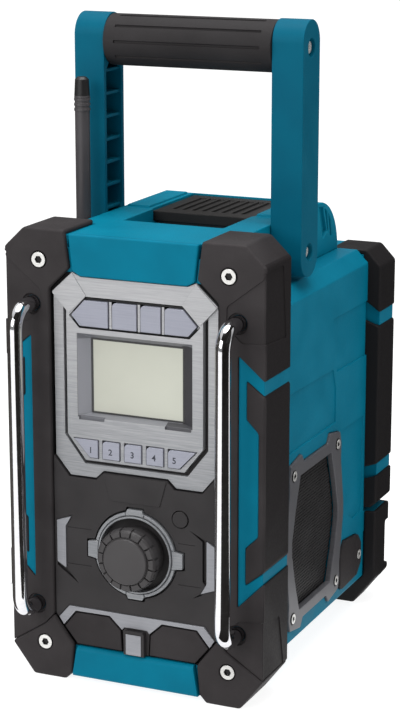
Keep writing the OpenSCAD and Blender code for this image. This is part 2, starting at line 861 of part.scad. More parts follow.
module knob_bezel() {
    color(silver) translate([0, 0, knob_z]) {
        difference() {
            plate(panel_face - 1, panel_back) bezel_2d();
            plate(0, panel_back + 1) circle(dish_r);
            // Groove outside the bright inner ring, and the lines between ring and tabs
            plate(0, panel_face + 0.6) difference() {
                circle(ring_r + 0.6);
                circle(ring_r);
            }
            for (turn = [0:90:270], side = [-1, 1]) rotate([0, turn + side * 13.5, 0]) {
                block(ring_r, ring_r + 6, 0, panel_face - 0.2, -0.25, 0.25);
            }
        }
        plate(panel_face - 1.8, panel_back) difference() {
            circle(ring_r);
            circle(dish_r);
        }
    }
}

module tuning_knob() {
    grip_r = knob_d / 2;
    disc_r = grip_r * 0.705;
    top = knob_proud + 0.8;
    block_h = 7;
    neck_r = grip_r - 2.2;
    color(black) translate([0, y_front, knob_z]) rotate([90, 0, 0]) difference() {
        rotate_extrude($fn = 96) polygon([
            [0, top], [disc_r, top], [disc_r + 0.5, top - 0.5], [disc_r + 0.6, top - 1.8],
            [disc_r + 1.1, top - 1.8], [disc_r + 1.3, top - 1.1], [grip_r - 1.4, top - 1.5],
            [grip_r - 0.3, top - 3], [grip_r, top - block_h], [neck_r, top - block_h - 0.6],
            [neck_r, -5], [0, -5]
        ]);
        translate([0, 0, -6]) cylinder(r = 3.02, h = knob_proud);
        // Rim cut into blocks
        for (turn = [0:22.5:359]) rotate(turn + 11.25) {
            translate([disc_r + 0.8, -0.35, top - 2.7]) cube([grip_r, 0.7, 5]);
            translate([grip_r - 0.8, -0.6, -6]) cube([3, 1.2, top + 4]);
        }
    }
}

// Silver inserts of the panel: beside the knob, round the port covers and on the hood
module panel_trims() {
    color(silver) {
        plate(panel_face - 0.5, panel_back) accents_2d();
        plate(panel_face - 0.6, panel_back) trim_2d();
        plate(-2, -1.5) translate([-4.9, strip_top + 0.9]) square([9.8, 12.6]);
    }
}

module aux_jack() {
    color(black) difference() {
        union() {
            block(-port_x - 6, -port_x + 6, base_back, 24, port_z - 5, port_z + 5);
            rod_y(-port_x, port_z, 4.2, panel_back + 0.6, base_back);
        }
        rod_y(-port_x, port_z, aux_bore_d / 2, panel_back, 22);
    }
}

module usb_socket() {
    color(chrome) {
        difference() {
            union() {
                block(port_x - 7.2, port_x + 7.2, panel_back + 1, 26, port_z - 3.6, port_z + 3.6);
                block(port_x - 10, port_x + 10, base_back, base_back + 1.2, port_z - 6, port_z + 6);
            }
            block(port_x - 6.3, port_x + 6.3, panel_back, 24.5, port_z - 2.6, port_z + 2.6);
        }
        block(port_x - 5.6, port_x + 5.6, panel_back + 2, 25, port_z, port_z + 1.8);
    }
}

module lower_trim() {
    color(teal) intersection() {
        plate(-1.2, panel_back) strip_2d();
        across(-big / 2, big / 2) offset(r = 3) offset(delta = -3) {
            translate([-1.2, strip_low - 1]) square([20, strip_top - strip_low + 1]);
        }
    }
}

module port_flap(side) {
    color(black) on_side(side) {
        plate(panel_face - 0.8, panel_back - 0.4) polygon(flap);
        plate(panel_back - 0.5, panel_back + 0.3) translate([port_x, port_z]) circle(2.6);
    }
}

module guard_bars() {
    r = bar_d / 2;
    out = bar_proud - r;
    color(chrome) mirrored() {
        for (end = [[bar_low, 1], [bar_top, -1]]) {
            rod_y(bar_x, end[0], r, bar_bend_r - out, front_wall);
            translate([bar_x, yd(bar_bend_r - out), end[0] + end[1] * bar_bend_r]) {
                rotate([0, -90, 0]) rotate(end[1] > 0 ? 180 : 270) {
                    rotate_extrude(angle = 90) translate([bar_bend_r, 0]) circle(r);
                }
            }
        }
        translate([bar_x, yd(-out), bar_low + bar_bend_r]) cylinder(r = r, h = bar_top - bar_low - 2 * bar_bend_r);
    }
}

// A round-headed screw along its own Z, with a hexagon socket
module screw(head_r, head_h, length) {
    difference() {
        union() {
            translate([0, 0, -length]) cylinder(r = shank_r, h = length + 0.5);
            cylinder(r = head_r, h = head_h);
        }
        translate([0, 0, head_h - 1.2]) cylinder(r = head_r * 0.52, h = 2, $fn = 6);
    }
}

module case_screws() {
    color(chrome) mirrored() {
        for (z = [screw_low, screw_top]) translate([screw_x, yd(1.6), z]) rotate([90, 0, 0]) {
            screw(screw_head_d / 2, 1.9, 9);
        }
        for (p = grille_holes) translate([mid_half - grille_sunk + grille_t - 1, yd(p[0]), p[1]]) {
            rotate([0, 90, 0]) screw(3.1, 1.6, 5);
        }
    }
    color(chrome) translate([mid_half + dc_proud - 1.2, yd(dc_fold + 5), dc_z - 2]) {
        rotate([0, 90, 0]) screw(3.1, 1.6, 5);
    }
}

// ---------------------------------------------------------------- speakers and grilles

module quarter_turned_2d(points) {
    translate([speaker_depth, speaker_z]) polygon(both_sides(concat(
        points, [for (i = [len(points) - 1:-1:0]) [points[i][0], -points[i][1]]]
    )));
}

module grille_outline_2d() {
    quarter_turned_2d([[20, 49], [24, 54.5], [41, 51.5], [43.5, 44], [43, 34], [48.5, 4]]);
}

module grille_opening_2d() {
    quarter_turned_2d([[26, 42], [33.5, 22], [38.5, 4]]);
}

module grille_frames() {
    color(silver) mirrored() difference() {
        across(mid_half - grille_sunk, mid_half - grille_sunk + grille_t) grille_outline_2d();
        across(mid_half - 10, mid_half + 10) grille_opening_2d();
        for (p = grille_holes) {
            rod_x(p[0], p[1], 3.6, mid_half - grille_sunk + grille_t - 1, mid_half + 10);
            rod_x(p[0], p[1], shank_r + 0.02, mid_half - 10, mid_half + 10);
        }
    }
}

module grille_meshes() {
    reach = 10;
    color(black) mirrored() across(mid_half - wall, mid_half - wall + 1) difference() {
        offset(delta = 2) grille_opening_2d();
        intersection() {
            offset(delta = -2.2) grille_opening_2d();
            translate([speaker_depth, speaker_z]) for (i = [-reach:reach], j = [-reach:reach]) {
                translate([mesh_pitch * (i + (j % 2) / 2), mesh_pitch * 0.866 * j]) circle(mesh_pitch * 0.32, $fn = 16);
            }
        }
    }
}

module speaker(side) {
    r = speaker_d / 2;
    color([0.25, 0.25, 0.27]) on_side(side) {
        translate([mid_half - wall, yd(speaker_depth), speaker_z]) rotate([0, -90, 0]) {
            rotate_extrude() polygon([
                [0, 9], [11, 8], [r - 7, 1.2], [r - 4, 0.4], [r, 0], [r, 2], [r - 3, 2.4],
                [r - 14, 20], [24, 21], [24, 33], [0, 33]
            ]);
        }
    }
}

// ---------------------------------------------------------------- battery bay and door

module battery_terminal() {
    color(black) {
        block(-26, 26, bay_front, bay_front + 5.2, pack_low + 8, pack_low + 60);
        mirrored() block(rail_x - rail_w / 2, rail_x + rail_w / 2, bay_front, pack_front + rail_d - gap, pack_low + 1, pack_low + pack_travel - 1);
    }
}

module battery_pack() {
    color(black) difference() {
        intersection() {
            block(-pack_w / 2, pack_w / 2, pack_front, pack_front + pack_t, pack_low, pack_low + pack_h);
            plate(0, big) offset(r = 6) offset(delta = -6) {
                translate([-pack_w / 2, pack_low]) square([pack_w, pack_h]);
            }
        }
        mirrored() block(rail_x - rail_w / 2 - gap, rail_x + rail_w / 2 + gap, pack_front - 1, pack_front + rail_d, pack_low - 1, pack_low + pack_h - 8);
        block(-18, 18, pack_front + pack_t - 3, pack_front + pack_t + 1, pack_low + pack_h - 26, pack_low + pack_h - 12);
    }
}

module dc_jack() {
    color(black) difference() {
        rod_x(dc_depth, dc_z, 5.5 - 0.02, mid_half - 14, mid_half - 2);
        rod_x(dc_depth, dc_z, dc_bore_d / 2, mid_half - 12, mid_half - 1);
    }
}

module dc_cover_2d() {
    polygon([
        [dc_depth - 12, dc_z - 13], [dc_depth - 12, dc_z + 7], [dc_depth - 5, dc_z + 15],
        [dc_fold + 3, dc_z + 12], [dc_fold + 9, dc_z + 5], [dc_fold + 9, dc_z - 9], [dc_fold + 2, dc_z - 15],
        [dc_depth - 8, dc_z - 16]
    ]);
}

// Rubber cover of the charger jack: the front part lifts, the back part is screwed down
module dc_flap() {
    color(black) {
        across(mid_half - 1.4, mid_half + dc_proud) intersection() {
            dc_cover_2d();
            translate([0, 0]) square([dc_fold - seam, big]);
        }
        rod_x(dc_depth, dc_z, dc_bore_d / 2 - gap, mid_half - 1.9, mid_half);
    }
}

module dc_cover_tab() {
    color(black) difference() {
        across(mid_half - 1.4, mid_half + dc_proud) intersection() {
            dc_cover_2d();
            translate([dc_fold, 0]) square([big, big]);
        }
        rod_x(dc_fold + 5, dc_z - 2, 3.7, mid_half + dc_proud - 1.2, mid_half + 5);
        rod_x(dc_fold + 5, dc_z - 2, shank_r + 0.02, mid_half - 5, mid_half + 5);
    }
}

module door_core_2d() {
    offset(delta = -rubber) door_2d();
}

module door_2d() {
    polygon(both_sides([
        [half_w - 9.5, door_top], [half_w, door_top - 10], [half_w, door_low + 4],
        [half_w - 4.5, door_low]
    ]));
}

module battery_door() {
    front = rear_d + door_gap;
    hinge_depth = body_d - hinge_in;
    // Reach ahead of the hinge that still passes the lower back edge of the pack
    clear = sqrt(max(0, (hinge_depth - pack_front - pack_t) ^ 2 + (pack_low - hinge_z) ^ 2 - (bay_low + 2 - hinge_z) ^ 2)) - 0.5;
    color(teal) difference() {
        union() {
            plate(front, front + rubber) intersection() {
                door_core_2d();
                translate([-mid_half + 3.5, 0]) square([2 * mid_half - 7, big]);
            }
            plate(front + rubber, body_d - rubber) door_core_2d();
            plate(front + rubber, body_d - show_inset) difference() {
                offset(delta = -show_inset) door_2d();
                door_bumpers_2d();
            }
            mirrored() {
                rod_x(body_d - hinge_in, hinge_z, hinge_r, 26, 36);
                block(26, 36, body_d - hinge_in - hinge_r, body_d - hinge_in + hinge_r, hinge_z, door_low + 6);
            }
        }
        // Hollow that the back of the battery pack lies in
        block(-pack_w / 2 - 4, pack_w / 2 + 4, front - 1, body_d - rubber - wall, bay_low + 2, bay_top - 4);
        // Relief that lets the foot of the door swing past the pack
        block(-pack_w / 2 - 4, pack_w / 2 + 4, front - 1, max(front, hinge_depth - clear), door_low - 1, bay_low + 3);
        rod_x(body_d - hinge_in, hinge_z, hinge_pin_r + running, -40, 40);
    }
}

module door_bumpers_2d() {
    mirrored_2d() {
        polygon([
            [half_w - 33.5, door_top], [half_w - 9.5, door_top], [half_w, door_top - 10],
            [half_w, door_top - 40], [half_w - 20, door_top - 26], [half_w - 29, door_top - 15]
        ]);
        polygon([
            [half_w - 13, door_top - 44], [half_w, door_top - 49], [half_w, 96.5], [half_w - 13, 92]
        ]);
        polygon([
            [half_w - 13, 84], [half_w, 88.5], [half_w, door_low + 4], [half_w - 4.5, door_low],
            [half_w - 22, door_low]
        ]);
    }
}

module door_bumpers() {
    front = rear_d + door_gap;
    color(black) difference() {
        plate(front, body_d) intersection() {
            door_2d();
            door_bumpers_2d();
        }
        plate(front - 1, front + rubber + eps) intersection() {
            door_core_2d();
            translate([-mid_half + 3.5, 0]) square([2 * mid_half - 7, big]);
        }
        plate(front + rubber, body_d - rubber) door_core_2d();
    }
}

module door_hinge_pin() {
    color(silver) rod_x(body_d - hinge_in, hinge_z, hinge_pin_r, -44, 44);
}

module door_latch() {
    z1 = cover_top - latch_sunk;
    z0 = z1 - latch_t;
    slot_n = 8;
    pitch = (latch_w - 14) / slot_n;
    color(black) difference() {
        union() {
            block(-latch_half, latch_half, latch_front, latch_back, z0, z1);
            block(-latch_half + 2, latch_half - 2, latch_front + 1, latch_front + 4, z0 - 5, z0 + 1);
            rod_x(latch_pin_depth, latch_pin_z, latch_pin_r, -latch_half - 3.5, latch_half + 3.5);
            // Two hangers and the hook that holds the door
            mirrored() block(9, 12, latch_pin_depth - 3, latch_pin_depth + 4, nose_z, latch_pin_z + 1);
            block(-12, 12, latch_pin_depth - 3, rear_d - gap, nose_z - 3, nose_z + 1);
        }
        // Ribbed top
        for (i = [0:slot_n - 1]) {
            block(-latch_half + 7.8 + i * pitch, -latch_half + 7 + (i + 0.8) * pitch, latch_front + 11, latch_back - 7, z1 - 1.2, z1 + 1);
        }
    }
}

// ---------------------------------------------------------------- handle and antenna

module handle_arm(side) {
    rib_n = 7;
    first = pivot_z + 18;
    rib_step = (handle_reach - 36) / (rib_n - 1);
    color(teal) on_side(side) difference() {
        across(arm_in, arm_out) stadium(pivot_depth, pivot_z - 1.6, arm_top_z, arm_w / 2);
        // Channel open to the inside, crossed by ribs
        difference() {
            across(arm_in - 1, arm_out - 3.5) stadium(pivot_depth, pivot_z + 21, arm_top_z - 24, arm_w / 2 - 3.2);
            for (i = [0:rib_n - 1]) {
                block(arm_in + 1.5, arm_out, pivot_depth - arm_w, pivot_depth + arm_w, first + i * rib_step - 1, first + i * rib_step + 1);
            }
        }
        rod_x(pivot_depth, pivot_z, pivot_pin_d / 2 + running, arm_in - 1, arm_out + 1);
        rod_x(pivot_depth, grip_z, 5.4, arm_out - 4, arm_out + 1);
        rod_x(pivot_depth, grip_z, shank_r + 0.52, arm_in - 1, arm_out + 1);
        rod_x(pivot_depth, grip_z, 8.02, arm_in - 1, arm_in + 6);
    }
}

module pivot_pins() {
    color(chrome) mirrored() difference() {
        union() {
            rod_x(pivot_depth, pivot_z, pivot_pin_d / 2, block_half - 9, arm_out - 3.5);
            rod_x(pivot_depth, pivot_z, 3.2, arm_out - 4, arm_out - 2);
        }
        translate([arm_out - 3, yd(pivot_depth), pivot_z]) rotate([0, 90, 0]) cylinder(r = 1.7, h = 4, $fn = 6);
    }
}

module grip_core() {
    color(silver) difference() {
        rod_x(pivot_depth, grip_z, 8, -arm_in - 5.9, arm_in + 5.9);
        mirrored() rod_x(pivot_depth, grip_z, shank_r + 0.5, arm_in - 10, arm_in + 10);
    }
}

module grip_sleeve() {
    flutes = 10;
    color(black) difference() {
        rod_x(pivot_depth, grip_z, grip_d / 2, -arm_in + 0.1, arm_in - 0.1);
        rod_x(pivot_depth, grip_z, 8.02, -arm_in - 1, arm_in + 1);
        for (i = [0:flutes - 1]) translate([0, yd(pivot_depth), grip_z]) rotate([i * 360 / flutes, 0, 0]) {
            translate([-arm_in + 7, grip_d / 2 - 0.1, 0]) rotate([0, 90, 0]) cylinder(r = 0.9, h = 2 * arm_in - 14);
        }
    }
}

module handle_screws() {
    color(chrome) mirrored() translate([arm_out - 4, yd(pivot_depth), grip_z]) rotate([0, 90, 0]) {
        screw(3.6, 2.4, arm_t + 2);
    }
}

module antenna() {
    color(black) translate([antenna_x, yd(antenna_depth), 0]) {
        translate([0, 0, antenna_z]) sphere(antenna_r);
        translate([0, 0, antenna_z]) cylinder(r = 4.4, h = antenna_top - 12 - antenna_z);
        for (i = [0:2]) translate([0, 0, antenna_top - 20 + 3 * i]) cylinder(r = 4.8, h = 1.6);
        translate([0, 0, antenna_top - 12.2]) cylinder(r1 = 4.7, r2 = 4.1, h = 10.8);
        translate([0, 0, antenna_top - 1.6]) cylinder(r1 = 4.1, r2 = 2.6, h = 1.6);
    }
}

// ---------------------------------------------------------------- the assembly

front_housing();
main_housing();
top_cover();
rear_base();
badge_panel();
control_panel();
display_fascia();
display_lens();
display_module();
key_mat();
main_board();
power_board();
encoder_body();
knob_bezel();
panel_trims();
aux_jack();
usb_socket();
lower_trim();
front_bumper(-1);  // front_bumper_left
front_bumper(1);  // front_bumper_right
middle_bumpers();
foot_caps();
guard_bars();
case_screws();
speaker(-1);  // speaker_left
speaker(1);  // speaker_right
grille_frames();
grille_meshes();
battery_terminal();
dc_jack();
pivot_pins();
rear_feet();
door_hinge_pin();
battery_door();
door_bumpers();
door_latch();
battery_pack();
antenna();
handle_arm(-1);  // handle_arm_left
handle_arm(1);  // handle_arm_right
grip_core();
grip_sleeve();
handle_screws();
encoder_plunger();
encoder_shaft();
tuning_knob();
key_cap(function_keys[0], false);  // power_key
key_cap(function_keys[1]);  // source_key
key_cap(function_keys[2]);  // seek_key
key_cap(function_keys[3]);  // alarm_key
key_cap(preset_keys[0], false);  // preset_key_1
key_cap(preset_keys[1]);  // preset_key_2
key_cap(preset_keys[2]);  // preset_key_3
key_cap(preset_keys[3]);  // preset_key_4
key_cap(preset_keys[4]);  // preset_key_5
info_key();
port_flap(-1);  // aux_flap
port_flap(1);  // usb_flap
dc_flap();
dc_cover_tab();
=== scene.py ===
"""Looks of the site radio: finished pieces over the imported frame, a camera, light and a floor.

Everything stands in the frame of the CAD model: +Z is up, the controls face -Y. Lengths are in
metres, or in mm where a comment says so.
"""
import json
import math

import bmesh
import bpy
from mathutils import Matrix, Vector
from mathutils.bvhtree import BVHTree


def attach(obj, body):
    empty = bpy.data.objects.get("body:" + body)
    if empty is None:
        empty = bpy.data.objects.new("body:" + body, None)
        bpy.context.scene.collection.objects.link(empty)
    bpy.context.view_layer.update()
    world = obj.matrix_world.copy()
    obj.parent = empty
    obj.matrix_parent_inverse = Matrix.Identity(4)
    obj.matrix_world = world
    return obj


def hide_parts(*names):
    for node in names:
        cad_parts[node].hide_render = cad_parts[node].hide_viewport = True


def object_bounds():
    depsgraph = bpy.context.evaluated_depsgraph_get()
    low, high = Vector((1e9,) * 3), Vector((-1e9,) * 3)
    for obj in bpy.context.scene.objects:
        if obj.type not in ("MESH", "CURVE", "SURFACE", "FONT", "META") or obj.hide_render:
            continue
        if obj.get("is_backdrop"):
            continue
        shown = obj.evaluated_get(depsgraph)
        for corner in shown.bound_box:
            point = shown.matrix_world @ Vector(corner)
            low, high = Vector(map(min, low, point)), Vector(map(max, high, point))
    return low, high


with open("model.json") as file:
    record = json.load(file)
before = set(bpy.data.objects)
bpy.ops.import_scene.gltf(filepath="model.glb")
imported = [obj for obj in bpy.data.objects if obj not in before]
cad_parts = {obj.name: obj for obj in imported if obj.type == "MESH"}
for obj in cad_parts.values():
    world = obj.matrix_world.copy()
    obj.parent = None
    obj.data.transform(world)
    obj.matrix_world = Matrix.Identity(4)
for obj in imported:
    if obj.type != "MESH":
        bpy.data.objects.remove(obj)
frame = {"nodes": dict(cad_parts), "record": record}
cad_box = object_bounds()

NODES = frame["nodes"]
BODY_OF = {
    node: body
    for body, nodes in frame["record"]["behaviour"]["bodies"].items()
    for node in nodes
}
MM = 0.001

# Plane of the front face
Y_FRONT = -97.75 * MM


# ---------------------------------------------------------------- camera

# As fitted to the photograph: sensor width and focal length in mm, then the camera's place and
# the point that it looks at
SENSOR_WIDTH, FOCAL_LENGTH = 36.0, 106.7
CAMERA_AT = Vector((0.5068, -1.14285, 0.4928))
CAMERA_AIM = Vector((-0.007, 0.01225, 0.1773))


def aim_camera():
    """The photograph's viewpoint: right of the front, a little above, with a long lens."""
    data = bpy.data.cameras.new("camera")
    data.sensor_fit = "AUTO"
    data.sensor_width = SENSOR_WIDTH
    data.lens = FOCAL_LENGTH
    camera = bpy.data.objects.new("camera", data)
    camera.location = CAMERA_AT
    look = CAMERA_AIM - camera.location
    camera.rotation_euler = look.to_track_quat("-Z", "Y").to_euler()
    bpy.context.scene.collection.objects.link(camera)
    bpy.context.scene.camera = camera


aim_camera()


# ---------------------------------------------------------------- material helpers

# Sockets of a mix node in its colour mode, by number, since its names repeat
MIX_A, MIX_B, MIX_RESULT = 6, 7, 2

# Most of a noise texture's values lie in this range
FROM_NOISE = {"From Min": 0.3, "From Max": 0.7}

# Size of the slow drift of tone across a moulded and a brushed piece
MOTTLE, DRIFT = 28 * MM, 30 * MM

# How much the brushed pattern is stretched, so that its streaks run along X
STREAKED = (0.03, 1, 1)


def hex_colour(code):
    """An sRGB hex colour as linear RGBA."""
    channels = [int(code[i:i + 2], 16) / 255 for i in (0, 2, 4)]
    return (*[
        c / 12.92 if c <= 0.04045 else ((c + 0.055) / 1.055) ** 2.4 for c in channels
    ], 1.0)


def add(tree, kind, inputs=None, **settings):
    """Adds a node, sets its properties, and sets or links its inputs. A node that is given as an
    input is linked from its first output."""
    node = tree.nodes.new(kind)
    for name, value in settings.items():
        setattr(node, name, value)
    for name, value in (inputs or {}).items():
        if isinstance(value, bpy.types.Node):
            value = value.outputs[0]
        if isinstance(value, bpy.types.NodeSocket):
            tree.links.new(value, node.inputs[name])
        else:
            node.inputs[name].default_value = value
    return node


def new_surface(name, **uniform):
    """A material with a Principled shader. Uniform values go straight on its sockets."""
    material = bpy.data.materials.new(name)
    material.use_nodes = True
    tree = material.node_tree
    shader = tree.nodes["Principled BSDF"]
    for socket, value in uniform.items():
        shader.inputs[socket.replace("_", " ")].default_value = value
    return material, tree, shader


def inside_box(tree, box):
    """1 inside a box that is given by its lowest and its highest corner in mm, 0 outside it."""
    place = add(tree, "ShaderNodeTexCoord").outputs["Object"]
    axes = add(tree, "ShaderNodeSeparateXYZ", {"Vector": place}).outputs
    inside = 1.0
    for axis, low, high in zip(axes, *box):
        near = add(tree, "ShaderNodeMath", {
            0: axis, 1: (low + high) / 2 * MM, 2: (high - low) / 2 * MM}, operation="COMPARE")
        inside = add(tree, "ShaderNodeMath", {0: inside, 1: near}, operation="MULTIPLY")
    return inside


def tinted(tree, shader, tone, dark, light, zones):
    """Links a colour that goes from dark to light with the tone. Each zone is a box, inside which
    another shade takes its place, also that of an earlier zone."""
    colour = add(tree, "ShaderNodeMix", {
        "Factor": tone, MIX_A: hex_colour(dark), MIX_B: hex_colour(light),
    }, data_type="RGBA").outputs[MIX_RESULT]
    for box, shade in zones:
        colour = add(tree, "ShaderNodeMix", {
            "Factor": inside_box(tree, box), MIX_A: colour, MIX_B: hex_colour(shade),
        }, data_type="RGBA").outputs[MIX_RESULT]
    tree.links.new(colour, shader.inputs["Base Color"])


def moulded(name, dark, light, roughness, grain, depth, zones=(), **uniform):
    """A moulded plastic or rubber: mottled colour, uneven gloss and an eroded grain, of which
    size and depth are given in metres."""
    material, tree, shader = new_surface(name, **uniform)
    place = add(tree, "ShaderNodeTexCoord").outputs["Object"]
    flow = add(tree, "ShaderNodeTexNoise", {
        "Vector": place, "Scale": 1 / MOTTLE, "Detail": 3.0, "Roughness": 0.5})
    fine = add(tree, "ShaderNodeTexNoise", {
        "Vector": place, "Scale": 1 / grain, "Detail": 3.0, "Roughness": 0.6})
    mottle = add(tree, "ShaderNodeMapRange", {
        "Value": flow, **FROM_NOISE, "To Min": 0.0, "To Max": 1.0})
    tinted(tree, shader, mottle, dark, light, zones)
    grainy = add(tree, "ShaderNodeMapRange", {
        "Value": fine, **FROM_NOISE, "To Min": -0.05, "To Max": 0.05})
    cloudy = add(tree, "ShaderNodeMapRange", {
        "Value": mottle, **FROM_NOISE, "To Min": roughness - 0.03, "To Max": roughness + 0.04})
    gloss = add(tree, "ShaderNodeMath", {0: grainy, 1: cloudy}, operation="ADD")
    relief = add(tree, "ShaderNodeBump", {"Height": fine, "Distance": depth, "Strength": 1.0})
    tree.links.new(gloss.outputs[0], shader.inputs["Roughness"])
    tree.links.new(relief.outputs[0], shader.inputs["Normal"])
    return material


def brushed(name, dark, light, roughness, streak, depth, zones=(), fade=None, **uniform):
    """Brushed metal or metallic paint: streaks along X in tone, gloss and relief, of which width
    and depth are given in metres.

    fade gives two heights in mm between which the paint goes from its dark to its light tone, as
    painted light and shade: darker low, lighter high."""
    material, tree, shader = new_surface(name, **uniform)
    place = add(tree, "ShaderNodeTexCoord").outputs["Object"]
    along = add(tree, "ShaderNodeMapping", {"Vector": place, "Scale": STREAKED})
    streaks = add(tree, "ShaderNodeTexNoise", {
        "Vector": along, "Scale": 1 / streak, "Detail": 3.0, "Roughness": 0.7})
    # Painted light and shade: with fade, the tone rises with height instead of drifting at random
    if fade:
        height = add(tree, "ShaderNodeSeparateXYZ", {"Vector": place}).outputs["Z"]
        drift = add(tree, "ShaderNodeMapRange", {
            "Value": height, "From Min": fade[0] * MM, "From Max": fade[1] * MM,
            "To Min": 0.0, "To Max": 0.55})
    else:
        cloud = add(tree, "ShaderNodeTexNoise", {
            "Vector": place, "Scale": 1 / DRIFT, "Detail": 2.0, "Roughness": 0.5})
        drift = add(tree, "ShaderNodeMapRange", {
            "Value": cloud, **FROM_NOISE, "To Min": 0.0, "To Max": 0.3})
    streaky = add(tree, "ShaderNodeMapRange", {
        "Value": streaks, **FROM_NOISE, "To Min": 0.0, "To Max": 0.45 if fade else 0.7})
    tone = add(tree, "ShaderNodeMath", {0: streaky, 1: drift}, operation="ADD")
    tinted(tree, shader, tone, dark, light, zones)
    gloss = add(tree, "ShaderNodeMapRange", {
        "Value": streaks, **FROM_NOISE, "To Min": roughness - 0.06, "To Max": roughness + 0.06})
    relief = add(tree, "ShaderNodeBump", {"Height": streaks, "Distance": depth, "Strength": 1.0})
    tree.links.new(gloss.outputs[0], shader.inputs["Roughness"])
    tree.links.new(relief.outputs[0], shader.inputs["Normal"])
    return material


# ---------------------------------------------------------------- zones

# Boxes in mm, each as its lowest and its highest corner, where a material has a shade of its own.
# Most of them are painted shade: the panel's seat, the bumpers' sides and rear frame, the walls of
# the display window, the gaps round the keys and the sockets of the screws.
# Painted shade in the gap round the control panel
PANEL_SEAT_SHADE = ((-54.6, -120, 21.5), (54.6, -80, 248))
# Painted shade on the bumpers' outer sides and on the rear frame
LEFT_SIDE_SHADE = ((-84, -96, -1), (-79.9, 140, 280))
RIGHT_SIDE_SHADE = ((79.9, -96, -1), (84, 140, 280))
REAR_FRAME_SHADE = ((-84, 84, -1), (84, 140, 280))
LATCH_PLATE = ((-60, -70, 240), (60, 140, 300))
ANTENNA_CAP = ((-80, -60, 341), (-40, 0, 360))
# Painted shade and light on the walls, sill and feet of the display window
WINDOW_WALLS_SHADE = ((-36.4, -95.3, 163), (36.4, -88.6, 213.2))
WINDOW_SILL_SHADE = ((-36.4, -95.3, 163), (36.4, -88.6, 167))
WINDOW_LEFT_WALL_SHADE = ((-36.4, -95.3, 165), (-28.4, -88.6, 209.5))
WINDOW_RIGHT_WALL_SHADE = ((28.4, -95.3, 165), (36.4, -88.6, 211))
WINDOW_RIGHT_FOOT_SHADE = ((19.2, -95.6, 161.5), (36.4, -90, 165))
WINDOW_LEFT_FOOT_SHADE = ((-36.4, -95.6, 161.5), (-19.2, -90, 163.9))
# Painted shade in the gaps round the keys
UPPER_KEY_GAP_SHADE = ((-39, -95.4, 213.8), (39, -88, 238))
PRESET_KEY_GAP_SHADE = ((-36, -95.4, 139.3), (36, -88, 148.8))
# Painted shade in the sockets of the screws
FRONT_SOCKET_SHADE = ((-82, -97.8, 0), (82, -96.4, 272))
LEFT_GRILLE_SOCKET_SHADE = ((-75.4, -60, 0), (-74.0, 95, 200))
RIGHT_GRILLE_SOCKET_SHADE = ((74.0, -60, 0), (75.4, 95, 200))
LCD_AREA = ((-28.2, -100, 166.3), (28.2, -80, 208.7))


# ---------------------------------------------------------------- materials

# Injection moulded ABS from a spark-eroded tool: roughness, size and depth of the grain. It is
# satin, with a grain of about 0.3 mm, drawn at 1 mm so that it shows.
SATIN = (0.5, 1.0 * MM, 0.03 * MM)
FAINT_SHEEN = {"IOR": 1.5, "Specular_IOR_Level": 0.06}

# The teal ABS, with a slow drift of tone where the melt flowed.
TEAL_ABS = moulded("teal_abs_moulded", "006078", "006881", *SATIN, **FAINT_SHEEN)

# The same ABS on the front housing. Its seat for the panel is painted near black, as painted
# shade in the gap round the panel.
FRONT_ABS = moulded("teal_abs_painted_seat_shade", "006078", "006881", *SATIN,
                    zones=[(PANEL_SEAT_SHADE, "0c0c0d")], **FAINT_SHEEN)

# The same ABS on the top cover, in a copy painted a shade lighter as painted light from above.
TOP_ABS_PAINTED_LIGHT = moulded("teal_abs_painted_top_light", "00677f", "006e87", *SATIN, **FAINT_SHEEN)

# TPE rubber moulded over the ABS: dull and dry, with a coarser grain drawn at 1.4 mm. Its
# outer sides and the rear frame are painted a deeper black, as painted shade where less light
# falls.
BUMPER_TPE = moulded("bumper_tpe_overmoulded", "282526", "333031", 0.6, 1.4 * MM, 0.06 * MM,
                     zones=[(LEFT_SIDE_SHADE, "211e1f"), (RIGHT_SIDE_SHADE, "211e1f"), (REAR_FRAME_SHADE, "1c1a1b")],
                     IOR=1.5, Specular_IOR_Level=0.14)

# ABS in black for the panel, the latch and the info key: finer and a little glossier than the
# rubber. The latch plate is a shade darker.
PANEL_ABS = moulded("black_abs_textured", "272526", "312f30", 0.46, 1.0 * MM, 0.03 * MM,
                    zones=[(LATCH_PLATE, "1d1c1c")], IOR=1.5, Specular_IOR_Level=0.2)

# The knob: the same black, smoother where fingers hold it.
KNOB_ABS = moulded("knob_abs_satin", "323031", "3a3839", 0.36, 0.9 * MM, 0.01 * MM,
                   IOR=1.5, Specular_IOR_Level=0.35)

# The arms: the same teal ABS in a copy a shade deeper, as painted shade where less light falls on
# them.
ARM_ABS_PAINTED_SHADE = moulded("teal_abs_painted_shade", "004e64", "00556b", *SATIN, **FAINT_SHEEN)

# The rod antenna: TPE on a spring core, worn a little grey, with a black cap on its tip.
ROD_TPE = moulded("antenna_tpe", "3a3739", "434042", 0.42, 1.2 * MM, 0.03 * MM,
                  zones=[(ANTENNA_CAP, "191819")], IOR=1.5, Specular_IOR_Level=0.4)

# Soft grip rubber: the darkest and dullest of the blacks.
GRIP_RUBBER = moulded("grip_rubber_moulded", "211f20", "2a2829", 0.62, 1.2 * MM, 0.06 * MM,
                      IOR=1.5, Specular_IOR_Level=0.15)

# PA6 with glass fibre, as battery packs and jacks are made of: grey black, slightly mottled.
INNER_NYLON = moulded("black_nylon_glass_filled", "1f1f21", "2a2a2c", 0.5, 1.2 * MM, 0.04 * MM,
                      IOR=1.53)

